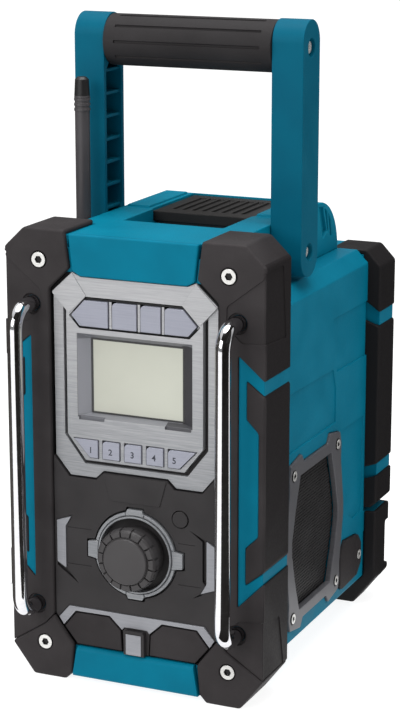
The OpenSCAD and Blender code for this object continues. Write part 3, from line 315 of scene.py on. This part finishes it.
# Metallic paint over ABS, with a brushed pattern in the tool: streaks drawn 0.6 mm wide. It is
# painted darker low and lighter high, as painted light and shade. The walls and feet of the display
# window carry painted shade, its sill a lighter painted tone, and the gaps round the keys are
# painted black as shade.
SILVER_PAINT = brushed("silver_paint_brushed", "707377", "acacae", 0.4, 0.6 * MM, 0.015 * MM,
                       zones=[(WINDOW_WALLS_SHADE, "6c6d72"), (WINDOW_SILL_SHADE, "85868b"),
                              (WINDOW_LEFT_WALL_SHADE, "8d8e94"), (WINDOW_RIGHT_WALL_SHADE, "39383c"),
                              (WINDOW_RIGHT_FOOT_SHADE, "47474b"), (WINDOW_LEFT_FOOT_SHADE, "5d5e63"),
                              (UPPER_KEY_GAP_SHADE, "121213"), (PRESET_KEY_GAP_SHADE, "121213")],
                       fade=(110, 225), Metallic=0.25)

# The inserts of the panel: a copy of the same paint, a shade darker as painted shade, since they
# sit low on the front where less light falls.
TRIM_PAINT_PAINTED_SHADE = brushed("silver_paint_painted_shade", "7c7d82", "8e8f94", 0.4, 0.6 * MM, 0.015 * MM,
                     Metallic=0.25)

# Darker silver of the grille frames, a paint with more graphite in it.
FRAME_PAINT = brushed("graphite_silver_paint", "505054", "636367", 0.42, 1.0 * MM, 0.01 * MM,
                      Metallic=0.3)

# The keys: satin paint with a cool, faintly violet cast.
KEY_PAINT = brushed("key_paint_satin", "82848f", "8f919d", 0.36, 0.9 * MM, 0.008 * MM,
                    Metallic=0.1)

# Bright chrome on steel tube: a mirror, with faint handling marks that only the gloss shows.
CHROME = brushed("bright_chrome_plated", "d9d9dc", "ebebee", 0.07, 3.0 * MM, 0.003 * MM,
                 Metallic=1.0)

# Zinc plated steel, turned and pressed. The sockets are painted dark, as painted shade deep inside
# them.
ZINC_STEEL = brushed("zinc_plated_steel", "c9c8c5", "e2e1de", 0.3, 0.8 * MM, 0.01 * MM,
                     zones=[(FRONT_SOCKET_SHADE, "1b1a1a"), (LEFT_GRILLE_SOCKET_SHADE, "232222"),
                            (RIGHT_GRILLE_SOCKET_SHADE, "232222")],
                     Metallic=0.6)

# Powder coated steel sheet: an orange-peel skin of about 1.5 mm.
POWDER_COAT = moulded("powder_coated_steel", "262526", "302f30", 0.5, 1.5 * MM, 0.03 * MM,
                      IOR=1.5, Specular_IOR_Level=0.2)

# Dark ink of the numbers on the keys, with the slight unevenness of pad printing.
KEY_INK = moulded("pad_printed_ink", "23262f", "2e313b", 0.5, 0.8 * MM, 0.005 * MM, IOR=1.45)

# FR4 board under green solder mask, with the tone of its copper areas.
SOLDER_MASK = moulded("solder_mask_fr4", "0f3a22", "1b5230", 0.32, 2.5 * MM, 0.02 * MM, IOR=1.55)

# Pressed paper cone: fibrous and matt.
CONE_PAPER = moulded("pressed_paper_cone", "161616", "232222", 0.8, 1.6 * MM, 0.08 * MM, IOR=1.45)


def display_window():
    """Acrylic window over an unlit LCD: grey green in a black border, deeper at one side."""
    material, tree, shader = new_surface(
        "acrylic_over_lcd", Roughness=0.3, IOR=1.49, Coat_Weight=0.3, Coat_Roughness=0.08)
    place = add(tree, "ShaderNodeTexCoord").outputs["Object"]
    across = add(tree, "ShaderNodeSeparateXYZ", {"Vector": place}).outputs["X"]
    fade = add(tree, "ShaderNodeMapRange", {
        "Value": across, "From Min": -30 * MM, "From Max": 30 * MM, "To Min": 0.1, "To Max": 0.8})
    cloud = add(tree, "ShaderNodeTexNoise", {
        "Vector": place, "Scale": 1 / (14 * MM), "Detail": 2.0, "Roughness": 0.5})
    uneven = add(tree, "ShaderNodeMapRange", {
        "Value": cloud, **FROM_NOISE, "To Min": -0.1, "To Max": 0.1})
    veil = add(tree, "ShaderNodeMath", {0: fade, 1: uneven}, operation="ADD")
    glass = add(tree, "ShaderNodeMix", {
        "Factor": veil, MIX_A: hex_colour("a9aa9e"), MIX_B: hex_colour("b3b5a9"),
    }, data_type="RGBA").outputs[MIX_RESULT]
    framed = add(tree, "ShaderNodeMix", {
        "Factor": inside_box(tree, LCD_AREA), MIX_A: hex_colour("161617"), MIX_B: glass,
    }, data_type="RGBA").outputs[MIX_RESULT]
    tree.links.new(framed, shader.inputs["Base Color"])
    return material


LCD_WINDOW = display_window()


# ---------------------------------------------------------------- pieces that follow a CAD node

# node: (material slot, material, edge radius in mm)
FINISH = {
    "front_housing": ("teal_plastic", FRONT_ABS, 0.5),
    "main_housing": ("teal_plastic", TEAL_ABS, 0.8),
    "top_cover": ("teal_plastic", TOP_ABS_PAINTED_LIGHT, 0.7),
    "rear_base": ("teal_plastic", TEAL_ABS, 0.6),
    "badge_panel": ("teal_plastic", TEAL_ABS, 1.2),
    "lower_trim": ("teal_plastic", TEAL_ABS, 0.9),
    "battery_door": ("teal_plastic", TEAL_ABS, 0.6),
    "handle_arm_left": ("teal_plastic", ARM_ABS_PAINTED_SHADE, 0.5),
    "handle_arm_right": ("teal_plastic", ARM_ABS_PAINTED_SHADE, 0.5),
    "front_bumper_left": ("bumper_rubber", BUMPER_TPE, 1.5),
    "front_bumper_right": ("bumper_rubber", BUMPER_TPE, 1.5),
    "middle_bumpers": ("bumper_rubber", BUMPER_TPE, 1.5),
    "foot_caps": ("bumper_rubber", BUMPER_TPE, 1.5),
    "rear_feet": ("bumper_rubber", BUMPER_TPE, 1.5),
    "door_bumpers": ("bumper_rubber", BUMPER_TPE, 1.5),
    "dc_flap": ("bumper_rubber", BUMPER_TPE, 0.6),
    "dc_cover_tab": ("bumper_rubber", BUMPER_TPE, 0.6),
    "aux_flap": ("bumper_rubber", BUMPER_TPE, 0.6),
    "usb_flap": ("bumper_rubber", BUMPER_TPE, 0.6),
    "control_panel": ("panel_plastic", PANEL_ABS, 0.35),
    "door_latch": ("panel_plastic", PANEL_ABS, 0.5),
    "antenna": ("panel_plastic", ROD_TPE, 0.4),
    "tuning_knob": ("panel_plastic", KNOB_ABS, 0.4),
    "info_key": ("panel_plastic", PANEL_ABS, 0.5),
    "display_fascia": ("silver_trim", SILVER_PAINT, 0.3),
    "knob_bezel": ("silver_trim", SILVER_PAINT, 0.3),
    "panel_trims": ("silver_trim", TRIM_PAINT_PAINTED_SHADE, 0.3),
    "grille_frames": ("silver_trim", FRAME_PAINT, 0.6),
    "guard_bars": ("bright_chrome", CHROME, 0.0),
    "case_screws": ("screw_steel", ZINC_STEEL, 0.2),
    "pivot_pins": ("screw_steel", ZINC_STEEL, 0.3),
    "handle_screws": ("screw_steel", ZINC_STEEL, 0.3),
    "display_lens": ("display_glass", LCD_WINDOW, 0.0),
    "grip_sleeve": ("grip_rubber", GRIP_RUBBER, 0.5),
}
KEYS = ["power_key", "source_key", "seek_key", "alarm_key"]
KEYS += ["preset_key_%d" % number for number in range(1, 6)]
for key in KEYS:
    FINISH[key] = ("key_plastic", KEY_PAINT, 0.35)

# Nodes that stay as CAD made them, since they are inside or only show through a gap
KEPT = {
    "display_module": SOLDER_MASK, "key_mat": GRIP_RUBBER, "main_board": SOLDER_MASK,
    "power_board": SOLDER_MASK, "encoder_body": INNER_NYLON, "aux_jack": INNER_NYLON,
    "usb_socket": ZINC_STEEL, "speaker_left": CONE_PAPER, "speaker_right": CONE_PAPER,
    "battery_terminal": INNER_NYLON, "dc_jack": INNER_NYLON,
    "door_hinge_pin": ZINC_STEEL, "battery_pack": INNER_NYLON, "grip_core": ZINC_STEEL,
    "encoder_plunger": ZINC_STEEL, "encoder_shaft": ZINC_STEEL,
}

# Edges of the CAD that turn by more than the first are rounded. Edges of what comes out that turn
# by more than the second stay sharp in the shading.
ROUNDED_TURN, SHARP_TURN = math.radians(30), math.radians(50)

# Neighbouring faces that turn by less than this lie in one plane
FLAT_TURN = math.radians(0.3)

# Edges run on into each other where their directions' cosine is less than this
RUN_ON = -0.75

# A rounded edge takes up at most this share of the room beside it. The room is felt out at these
# shares of the edge's length, this many mm inward, and this many mm under and over the face.
ROOM_SHARE = 0.42
FELT_SHARES, FELT_INWARD, FELT_LIFTS = (0.2, 0.5, 0.8), 0.02, (-0.01, 0.01)

# Runs of edges at faulty faces shrink by this, try after try, and are left sharp in the last two
SHRINK, TRIES = 0.6, 9

# Vertices closer than the first are one. Vertices closer than the second to a line that cuts a
# face lie on it.
SAME_POINT, ON_LINE = 0.002 * MM, 0.001 * MM

# How much more or less than its own area a filled face may cover, in square metres
AREA_SLACK = 0.4 * MM ** 2


def mesh_of(form, name):
    """A new mesh from an edit mesh, which is let go."""
    mesh = bpy.data.meshes.new(name)
    form.to_mesh(mesh)
    form.free()
    return mesh


def bridge(form, first, second):
    """Faces between two closed rings of vertices."""
    for a, b, c, d in zip(first, first[1:] + first[:1], second, second[1:] + second[:1]):
        form.faces.new((a, b, d, c))


def link(name, mesh):
    """A new object at the origin, in the scene."""
    thing = bpy.data.objects.new(name, mesh)
    bpy.context.scene.collection.objects.link(thing)
    return thing


def settle(thing):
    """Turns an object with live modifiers into a plain mesh."""
    shape = thing.evaluated_get(bpy.context.evaluated_depsgraph_get())
    mesh = bpy.data.meshes.new_from_object(shape)
    thing.modifiers.clear()
    thing.data = mesh
    return thing


def rounded(thing, radius):
    """Rounds the edges that carry a weight, and keeps flat faces flat in the shading. The radius
    is in mm."""
    if radius > 0:
        bevel = thing.modifiers.new("edges", "BEVEL")
        bevel.width = radius * MM
        bevel.segments = 2
        bevel.limit_method = "WEIGHT"
        bevel.use_clamp_overlap = False
        bevel.miter_outer = "MITER_ARC"
        settle(thing)
    thing.data.shade_smooth()
    thing.data.set_sharp_from_angle(angle=SHARP_TURN)
    normals = thing.modifiers.new("normals", "WEIGHTED_NORMAL")
    normals.mode = "FACE_AREA"
    normals.keep_sharp = True
    return settle(thing)


def overfilled(mesh):
    """Finds faces whose filling covers more or less than their own area. They are listed by the
    numbers of the faces that they came from, before the edges were rounded."""
    mesh.calc_loop_triangles()
    covered = [0.0] * len(mesh.polygons)
    for part in mesh.loop_triangles:
        covered[part.polygon_index] += part.area
    origin = mesh.attributes["origin"].data
    return [origin[face.index].value for face in mesh.polygons
            if abs(covered[face.index] - face.area) > AREA_SLACK]


def outlines(region):
    """The closed outlines of a flat region, as lists of vertices. None where two of them touch."""
    inside, ways = set(region), {}
    for face in region:
        for edge in face.edges:
            if sum(other in inside for other in edge.link_faces) == 1:
                for vertex in edge.verts:
                    ways.setdefault(vertex, []).append(edge)
    if any(len(edges) != 2 for edges in ways.values()):
        return None
    found = []
    while ways:
        start = next(iter(ways))
        vertex, edge, loop = start, ways[start][0], []
        while vertex is not start or not loop:
            loop.append(vertex)
            vertex = edge.other_vert(vertex)
            edge = next(other for other in ways[vertex] if other is not edge)
        found.append(loop)
        for vertex in loop:
            del ways[vertex]
    return found


def flat_regions(form, wall):
    """Lists of neighbouring faces that lie in one plane. An edge marked as a wall ends one."""
    seen = set()
    for first in form.faces:
        if first in seen:
            continue
        region, at = [first], 0
        seen.add(first)
        while at < len(region):
            for edge in region[at].edges:
                if edge[wall] or len(edge.link_faces) != 2:
                    continue
                if edge.calc_face_angle(1.0) > FLAT_TURN:
                    continue
                for other in edge.link_faces:
                    if other not in seen:
                        seen.add(other)
                        region.append(other)
            at += 1
        if len(region) > 1:
            yield region


def cut_through_holes(form, region, loops, wall):
    """Cuts a flat region along lines through its holes, so that no part of it has a hole."""
    normal = region[0].normal
    across = normal.cross((0, 0, 1) if abs(normal.z) < 0.9 else (0, 1, 0)).normalized()
    spans = []
    for loop in loops:
        reach = [vertex.co.dot(across) for vertex in loop]
        spans.append((min(reach), max(reach)))
    spans.remove(max(spans, key=lambda ends: ends[1] - ends[0]))
    done = []
    for low, high in sorted(spans):
        middle = (low + high) / 2
        if any(low < other < high for other in done):
            continue
        done.append(middle)
        parts = dict.fromkeys(region)
        for face in region:
            parts.update(dict.fromkeys([*face.edges, *face.verts]))
        made = bmesh.ops.bisect_plane(form, geom=list(parts), dist=ON_LINE / 2,
                                      plane_co=across * middle, plane_no=across)
        region = [part for part in made["geom"] if isinstance(part, bmesh.types.BMFace)]
        for face in region:
            for edge in face.edges:
                if all(abs(vertex.co.dot(across) - middle) < ON_LINE for vertex in edge.verts):
                    edge[wall] = 1


def room_at(edge, tree):
    """How wide an edge can be rounded, in metres, before it meets the far side of a face
    beside it. The width is felt out just under and just over each face."""
    start, way = edge.verts[0].co, edge.verts[1].co - edge.verts[0].co
    room = 1.0
    for face in edge.link_faces:
        inward = face.normal.cross(way).normalized()
        if inward.dot(face.calc_center_median() - start) < 0:
            inward.negate()
        for share in FELT_SHARES:
            for lift in FELT_LIFTS:
                point = start + share * way + FELT_INWARD * MM * inward + lift * MM * face.normal
                far = tree.ray_cast(point, inward)[3]
                if far is not None:
                    room = min(room, far)
    return room


def even_out(form, weight, chain):
    """Numbers the edges that run on into each other, and lists the least weight of each run."""
    least = [0.0]
    for first in form.edges:
        if first[chain] or first[weight] == 0:
            continue
        first[chain] = len(least)
        run = [first]
        for edge in run:
            for vertex in edge.verts:
                way = (edge.other_vert(vertex).co - vertex.co).normalized()
                for other in vertex.link_edges:
                    step = (other.other_vert(vertex).co - vertex.co).normalized()
                    if other[weight] > 0 and not other[chain] and way.dot(step) < RUN_ON:
                        other[chain] = len(least)
                        run.append(other)
        least.append(min(edge[weight] for edge in run))
    return least


def welded_copy(node, radius):
    """A copy of a node's mesh with its flat faces made whole, the run that each of its edges
    belongs to, and how much of the radius each run has room for."""
    form = bmesh.new()
    form.from_mesh(NODES[node].data)
    bmesh.ops.remove_doubles(form, verts=form.verts, dist=SAME_POINT)
    wall = form.edges.layers.int.new("wall")
    chain = form.edges.layers.int.new("chain")
    weight = form.edges.layers.float.new("weight")
    tree = BVHTree.FromBMesh(form)
    for edge in form.edges:
        if radius and edge.is_manifold and edge.calc_face_angle() > ROUNDED_TURN:
            edge[weight] = min(1, ROOM_SHARE * room_at(edge, tree) / (radius * MM))
    weights = even_out(form, weight, chain)
    for region in list(flat_regions(form, wall)):
        loops = outlines(region)
        if loops and len(loops) > 1:
            cut_through_holes(form, region, loops, wall)
    inner = {}
    for region in flat_regions(form, wall):
        loops = outlines(region)
        if loops and len(loops) == 1:
            inside = set(region)
            for face in region:
                for edge in face.edges:
                    if not edge[wall] and all(other in inside for other in edge.link_faces):
                        inner[edge] = True
    bmesh.ops.dissolve_edges(form, edges=list(inner), use_verts=False)
    corners = [vertex.co.copy() for vertex in form.verts]
    form.verts.index_update()
    faces = [[vertex.index for vertex in face.verts] for face in form.faces]
    runs = {tuple(sorted(vertex.index for vertex in edge.verts)): edge[chain]
            for edge in form.edges}
    form.free()
    mesh = bpy.data.meshes.new(node)
    mesh.from_pydata(corners, [], faces)
    mesh.attributes.new("bevel_weight_edge", "FLOAT", "EDGE")
    origin = mesh.attributes.new("origin", "INT", "FACE").data
    for face in mesh.polygons:
        origin[face.index].value = face.index
    return mesh, runs, weights


def finished_copy(node, radius):
    """A node's mesh with rounded edges. Runs at faces that aren't whole are made smaller, and
    left sharp in the last tries."""
    mesh, runs, weights = welded_copy(node, radius)
    for attempt in range(TRIES):
        share = mesh.attributes["bevel_weight_edge"].data
        for edge in mesh.edges:
            share[edge.index].value = weights[runs.get(edge.key, 0)]
        piece = rounded(link(node + "_finished", mesh.copy()), radius)
        faulty = overfilled(piece.data)
        if not faulty or attempt == TRIES - 1:
            return piece
        bpy.data.objects.remove(piece)
        shrink = SHRINK if attempt < TRIES - 3 else 0.0
        for run in {runs[key] for face in faulty for key in mesh.polygons[face].edge_keys}:
            weights[run] *= shrink


def stand_for(thing, node, slot, material):
    """Gives a piece its finish and lets it stand for a CAD node, on that node's body."""
    thing.data.materials.clear()
    thing.data.materials.append(material)
    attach(thing, BODY_OF[node])
    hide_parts(node)


for node, (slot, material, radius) in FINISH.items():
    stand_for(finished_copy(node, radius), node, slot, material)

for node, material in KEPT.items():
    for place in NODES[node].material_slots:
        place.material = material


# ---------------------------------------------------------------- back of the front housing

# The front housing is open behind, and the main housing stands lower and narrower than it.
# This inner wall closes what is left open. It stands just inside the housing's rear rim. The
# right halves of its outline and of its opening are given as x and z in mm.
BACK_OUTLINE = [(64.0, 6.3), (75.2, 20.9), (75.2, 257.8), (74.3, 258.7)]
BACK_OPENING = [(67.8, 19.0), (70.5, 21.5), (70.5, 226.8), (64.7, 233.0)]
BACK_NEAR, BACK_FAR = Y_FRONT + 35.2 * MM, Y_FRONT + 37.2 * MM


def front_housing_back():
    """A flat ring with the outline of the front housing inside its walls."""
    form = bmesh.new()
    rings = []
    for half, y in ((BACK_OUTLINE, BACK_NEAR), (BACK_OPENING, BACK_NEAR),
                    (BACK_OPENING, BACK_FAR), (BACK_OUTLINE, BACK_FAR)):
        whole = half + [(-x, z) for x, z in reversed(half)]
        rings.append([form.verts.new((x * MM, y, z * MM)) for x, z in whole])
    for ring, beside in zip(rings, rings[1:] + rings[:1]):
        bridge(form, ring, beside)
    bmesh.ops.recalc_face_normals(form, faces=form.faces)
    mesh = mesh_of(form, "front_housing_back")
    mesh.materials.append(TEAL_ABS)
    wall = link("front_housing_back", mesh)
    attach(wall, BODY_OF["front_housing"])


front_housing_back()


# ---------------------------------------------------------------- grille sheets

# Middle of the right sheet. Its outline, behind the frame's opening, is given by one quarter of
# it, in mm from that middle.
GRILLE_AT = Vector((70.5 * MM, Y_FRONT + 98.9 * MM, 79.4 * MM))
GRILLE_OPENING = [(26, 42), (33.5, 22), (38.5, 4)]

# Cells in a grid that covers the outline
GRILLE_COLUMNS, GRILLE_ROWS = 40, 48

# Points round a cell and round its hole. Every second one of a cell's is the middle of a side.
CELL_POINTS = 12


def hexagon_cell(pitch, hole, thickness):
    """One cell of a punched sheet: a hexagon round a round hole, with faces front and back."""
    form = bmesh.new()
    rings = []
    for at_hole, z in ((False, 1), (True, 1), (True, -1), (False, -1)):
        ring = []
        for step in range(CELL_POINTS):
            turn = math.tau * step / CELL_POINTS
            radius = pitch / 2 if step % 2 == 0 else pitch / math.sqrt(3)
            if at_hole:
                radius = hole / 2
            ring.append(form.verts.new((
                radius * math.cos(turn), radius * math.sin(turn), z * thickness / 2)))
        rings.append(ring)
    for first, second in zip(rings, rings[1:]):
        bridge(form, first, second)
    return link("cell", mesh_of(form, "cell"))


def outline_face(points):
    """A flat face that marks where the sheet may have cells, from one quarter of its outline."""
    corners = points + [(x, -y) for x, y in reversed(points)]
    corners += [(-x, -y) for x, y in points] + [(-x, y) for x, y in reversed(points)]
    mesh = bpy.data.meshes.new("outline")
    mesh.from_pydata([(x * MM, y * MM, 0) for x, y in corners], [], [range(len(corners))])
    return link("outline", mesh)


def punched_sheet_tree():
    """Cells on a staggered grid, kept where the outline lies under them, and welded."""
    tree = bpy.data.node_groups.new("punched_sheet", "GeometryNodeTree")
    tree.interface.new_socket("Geometry", in_out="OUTPUT", socket_type="NodeSocketGeometry")
    for name, kind in (("Cell", "Object"), ("Outline", "Object"), ("Pitch", "Float"),
                       ("Columns", "Int"), ("Rows", "Int"), ("Finish", "Material")):
        tree.interface.new_socket(name, in_out="INPUT", socket_type="NodeSocket" + kind)
    given = add(tree, "NodeGroupInput").outputs

    # A column of points, with every second one moved by half a pitch, and a row at each of them
    pitch = given["Pitch"]
    half_pitch = add(tree, "ShaderNodeMath", {0: pitch, 1: 0.5}, operation="MULTIPLY")
    row_step = add(tree, "ShaderNodeMath", {0: pitch, 1: math.sqrt(3) / 2}, operation="MULTIPLY")
    row = add(tree, "GeometryNodeMeshLine", {
        "Count": given["Columns"], "Offset": add(tree, "ShaderNodeCombineXYZ", {"X": pitch})})
    column = add(tree, "GeometryNodeMeshLine", {
        "Count": given["Rows"], "Offset": add(tree, "ShaderNodeCombineXYZ", {"Y": row_step})})
    number = add(tree, "GeometryNodeInputIndex")
    odd = add(tree, "ShaderNodeMath", {0: number, 1: 2.0}, operation="MODULO")
    stagger = add(tree, "ShaderNodeMath", {0: odd, 1: half_pitch}, operation="MULTIPLY")
    column = add(tree, "GeometryNodeSetPosition", {
        "Geometry": column, "Offset": add(tree, "ShaderNodeCombineXYZ", {"X": stagger})})
    rows = add(tree, "GeometryNodeInstanceOnPoints", {"Points": column, "Instance": row})
    grid = add(tree, "GeometryNodeRealizeInstances", {"Geometry": rows})

    # The grid's middle goes to the origin
    width = add(tree, "ShaderNodeMath", {0: given["Columns"], 1: pitch}, operation="MULTIPLY")
    height = add(tree, "ShaderNodeMath", {0: given["Rows"], 1: row_step}, operation="MULTIPLY")
    corner = add(tree, "ShaderNodeCombineXYZ", {"X": width, "Y": height})
    shift = add(tree, "ShaderNodeVectorMath", {0: corner, 1: (-0.5, -0.5, 0)}, operation="MULTIPLY")
    grid = add(tree, "GeometryNodeSetPosition", {"Geometry": grid, "Offset": shift})

    # Rays from 10 mm over each point look down for the outline
    place = add(tree, "GeometryNodeInputPosition")
    start = add(tree, "ShaderNodeVectorMath", {0: place, 1: (0, 0, 10 * MM)}, operation="ADD")
    outline = add(tree, "GeometryNodeObjectInfo", {"Object": given["Outline"]})
    under = add(tree, "GeometryNodeRaycast", {
        "Target Geometry": outline.outputs["Geometry"],
        "Source Position": start, "Ray Direction": (0, 0, -1)})
    cell = add(tree, "GeometryNodeObjectInfo", {"Object": given["Cell"]})
    cells = add(tree, "GeometryNodeInstanceOnPoints", {
        "Points": grid, "Selection": under.outputs["Is Hit"],
        "Instance": cell.outputs["Geometry"]})
    whole = add(tree, "GeometryNodeRealizeInstances", {"Geometry": cells})
    welded = add(tree, "GeometryNodeMergeByDistance", {"Geometry": whole, "Distance": 0.005 * MM})
    final = add(tree, "GeometryNodeSetMaterial", {
        "Geometry": welded, "Material": given["Finish"]})
    add(tree, "NodeGroupOutput", {"Geometry": final})
    return tree


def grille_sheets(pitch=2.2 * MM, hole=1.4 * MM, thickness=0.8 * MM):
    """The punched sheets behind the two grille frames, as one piece."""
    cell = hexagon_cell(pitch, hole, thickness)
    outline = outline_face(GRILLE_OPENING)
    sheet = link("grille_sheets", bpy.data.meshes.new("grille_sheets"))
    nodes = sheet.modifiers.new("punched", "NODES")
    nodes.node_group = punched_sheet_tree()
    sizes = {"Cell": cell, "Outline": outline, "Pitch": pitch, "Columns": GRILLE_COLUMNS,
             "Rows": GRILLE_ROWS, "Finish": POWDER_COAT}
    for item in nodes.node_group.interface.items_tree:
        if item.in_out == "INPUT":
            nodes[item.identifier] = sizes[item.name]
    settle(sheet)
    for helper in (cell, outline):
        bpy.data.objects.remove(helper)
    form = bmesh.new()
    form.from_mesh(sheet.data)
    # Sheet lies in X and Y when made: its X becomes depth, its Y height, its Z the outward side
    form.transform(Matrix(((0, 0, 1, GRILLE_AT.x), (1, 0, 0, GRILLE_AT.y),
                           (0, 1, 0, GRILLE_AT.z), (0, 0, 0, 1))))
    other = bmesh.ops.duplicate(form, geom=form.verts[:] + form.edges[:] + form.faces[:])
    for part in other["geom"]:
        if isinstance(part, bmesh.types.BMVert):
            part.co.x = -part.co.x
    bmesh.ops.reverse_faces(
        form, faces=[part for part in other["geom"] if isinstance(part, bmesh.types.BMFace)])
    form.to_mesh(sheet.data)
    form.free()
    return sheet


stand_for(grille_sheets(), "grille_meshes", "grille_metal", POWDER_COAT)


# ---------------------------------------------------------------- numbers on the preset keys

# Plane of the keys' faces
KEY_FACE_Y = Y_FRONT + 1.2 * MM

# Middles of the numbers in mm: one height, and a place across for each
NUMBERS_Z = 144.0
NUMBERS_X = [-27.9, -15.2, -1.2, 12.5, 25.3]

# How high a number stands in a font, as a share of the font's size
NUMBER_SHARE = 0.7


def key_number(number, x, height=3.6 * MM):
    """A plain printed number, a hair proud of the key's face, that moves with the key."""
    curve = bpy.data.curves.new("number", "FONT")
    curve.body = str(number)
    curve.size = height / NUMBER_SHARE
    curve.align_x, curve.align_y = "CENTER", "CENTER"
    curve.extrude = 0.03 * MM
    curve.offset = 0.09 * MM
    letter = link("key_number_%d" % number, curve)
    mesh = bpy.data.meshes.new_from_object(
        letter.evaluated_get(bpy.context.evaluated_depsgraph_get()))
    bpy.data.objects.remove(letter)
    mesh.transform(Matrix.Translation((x * MM, KEY_FACE_Y, NUMBERS_Z * MM))
                   @ Matrix.Rotation(math.radians(90), 4, "X"))
    mesh.materials.clear()
    mesh.materials.append(KEY_INK)
    piece = link("key_number_%d" % number, mesh)
    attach(piece, BODY_OF["preset_key_%d" % number])


for number, x in enumerate(NUMBERS_X, 1):
    key_number(number, x)


# ---------------------------------------------------------------- floor and light

# Reach of the floor to each side and size of its clouds of tone, both in metres, and how
# strongly it gives off light
FLOOR_REACH, FLOOR_CLOUDS, FLOOR_GLOW = 6.0, 0.4, 0.88

# Softboxes: name, place and width in metres, power in watts
SOFTBOXES = (
    ("softbox_top", (0.1, -0.1, 1.7), 1.2, 26),
    ("softbox_front", (-0.5, -1.9, 1.1), 1.0, 18),
    ("softbox_left", (-1.5, -1.1, 0.8), 0.7, 8),
    ("softbox_right", (1.7, -0.3, 0.9), 0.9, 4),
)
LIGHTS_AIM = Vector((0, 0, 0.18))

# Profiles of the cards as radius and height in metres: a wall that also lies on the floor in
# front of itself, and a sheet overhead
WALL = ((0.8, 0.8), (0.8, 0.004), (0.15, 0.004))
ROOF = ((0.3, 0.75), (0.8, 0.75))

# Cards: name, start and end in degrees right of the controls' own direction, shade, profile
CARDS = (
    ("black_card_right", 12, 106, "161412", WALL),
    ("black_card_rear", 122, 192, "1a1a1a", WALL),
    ("dark_card_left", -160, -38, "3b3835", WALL),
    ("black_card_roof", -20, 150, "1c1a18", ROOF),
)
CARD_STEPS = 12


def make_floor():
    """A plain white floor, far larger than the view. It gives off light, so that it stays white
    round the radio and keeps only a faint shadow."""
    form = bmesh.new()
    bmesh.ops.create_grid(form, x_segments=1, y_segments=1, size=FLOOR_REACH)
    floor = link("floor", mesh_of(form, "floor"))
    material, tree, shader = new_surface("floor_paper", Roughness=0.9, Specular_IOR_Level=0.1)
    place = add(tree, "ShaderNodeTexCoord").outputs["Object"]
    cloud = add(tree, "ShaderNodeTexNoise", {
        "Vector": place, "Scale": 1 / FLOOR_CLOUDS, "Detail": 2.0, "Roughness": 0.5})
    tinted(tree, shader, cloud, "888888", "8d8d8d", ())
    shader.inputs["Emission Color"].default_value = hex_colour("ffffff")
    shader.inputs["Emission Strength"].default_value = FLOOR_GLOW
    floor.data.materials.append(material)
    floor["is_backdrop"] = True


def soft_light(name, at, size, power):
    """A square softbox aimed at the middle of the radio."""
    data = bpy.data.lights.new(name, "AREA")
    data.shape = "SQUARE"
    data.size = size
    data.energy = power
    lamp = bpy.data.objects.new(name, data)
    lamp.location = at
    lamp.rotation_euler = (LIGHTS_AIM - Vector(at)).to_track_quat("-Z", "Y").to_euler()
    bpy.context.scene.collection.objects.link(lamp)


def white_surroundings():
    """A world that is white to the camera, and lights more from above and from behind."""
    world = bpy.data.worlds.new("studio")
    world.use_nodes = True
    tree = world.node_tree
    way = add(tree, "ShaderNodeTexCoord").outputs["Generated"]
    axes = add(tree, "ShaderNodeSeparateXYZ", {"Vector": way}).outputs
    upward = add(tree, "ShaderNodeMapRange", {
        "Value": axes["Z"], "From Min": -0.1, "From Max": 0.9, "To Min": 0.3, "To Max": 1.25})
    rearward = add(tree, "ShaderNodeMapRange", {
        "Value": axes["Y"], "From Min": -0.9, "From Max": 0.6, "To Min": 0.6, "To Max": 0.8})
    light = add(tree, "ShaderNodeMath", {0: upward, 1: rearward}, operation="MULTIPLY")
    sight = add(tree, "ShaderNodeLightPath").outputs["Is Camera Ray"]
    seen = add(tree, "ShaderNodeMix", {"Factor": sight, "A": light, "B": 1.0})
    back = tree.nodes["Background"]
    back.inputs["Color"].default_value = hex_colour("ffffff")
    tree.links.new(seen.outputs[0], back.inputs["Strength"])
    bpy.context.scene.world = world


def reflected_card(name, start, end, grey, profile):
    """A card that only reflections see, as a studio flag for chrome. It stands in an arc."""
    form = bmesh.new()
    rows = []
    for step in range(CARD_STEPS + 1):
        turn = math.radians(start + (end - start) * step / CARD_STEPS)
        x, y = math.sin(turn), -math.cos(turn)
        rows.append([form.verts.new((x * r, y * r, z)) for r, z in profile])
    for first, second in zip(rows, rows[1:]):
        for a, b, c, d in zip(first, second, first[1:], second[1:]):
            form.faces.new((a, b, d, c))
    card = link(name, mesh_of(form, name))
    material, _, shader = new_surface(name, Roughness=0.9, Specular_IOR_Level=0.1)
    shader.inputs["Base Color"].default_value = hex_colour(grey)
    card.data.materials.append(material)
    card.visible_camera = card.visible_diffuse = card.visible_shadow = False
    card.visible_transmission = card.visible_volume_scatter = False
    card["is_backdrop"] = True


make_floor()
white_surroundings()
bpy.context.scene.view_settings.view_transform = "Standard"
for box in SOFTBOXES:
    soft_light(*box)
for card in CARDS:
    reflected_card(*card)

made_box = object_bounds()
[[list(corner) for corner in box] for box in (cad_box, made_box)]
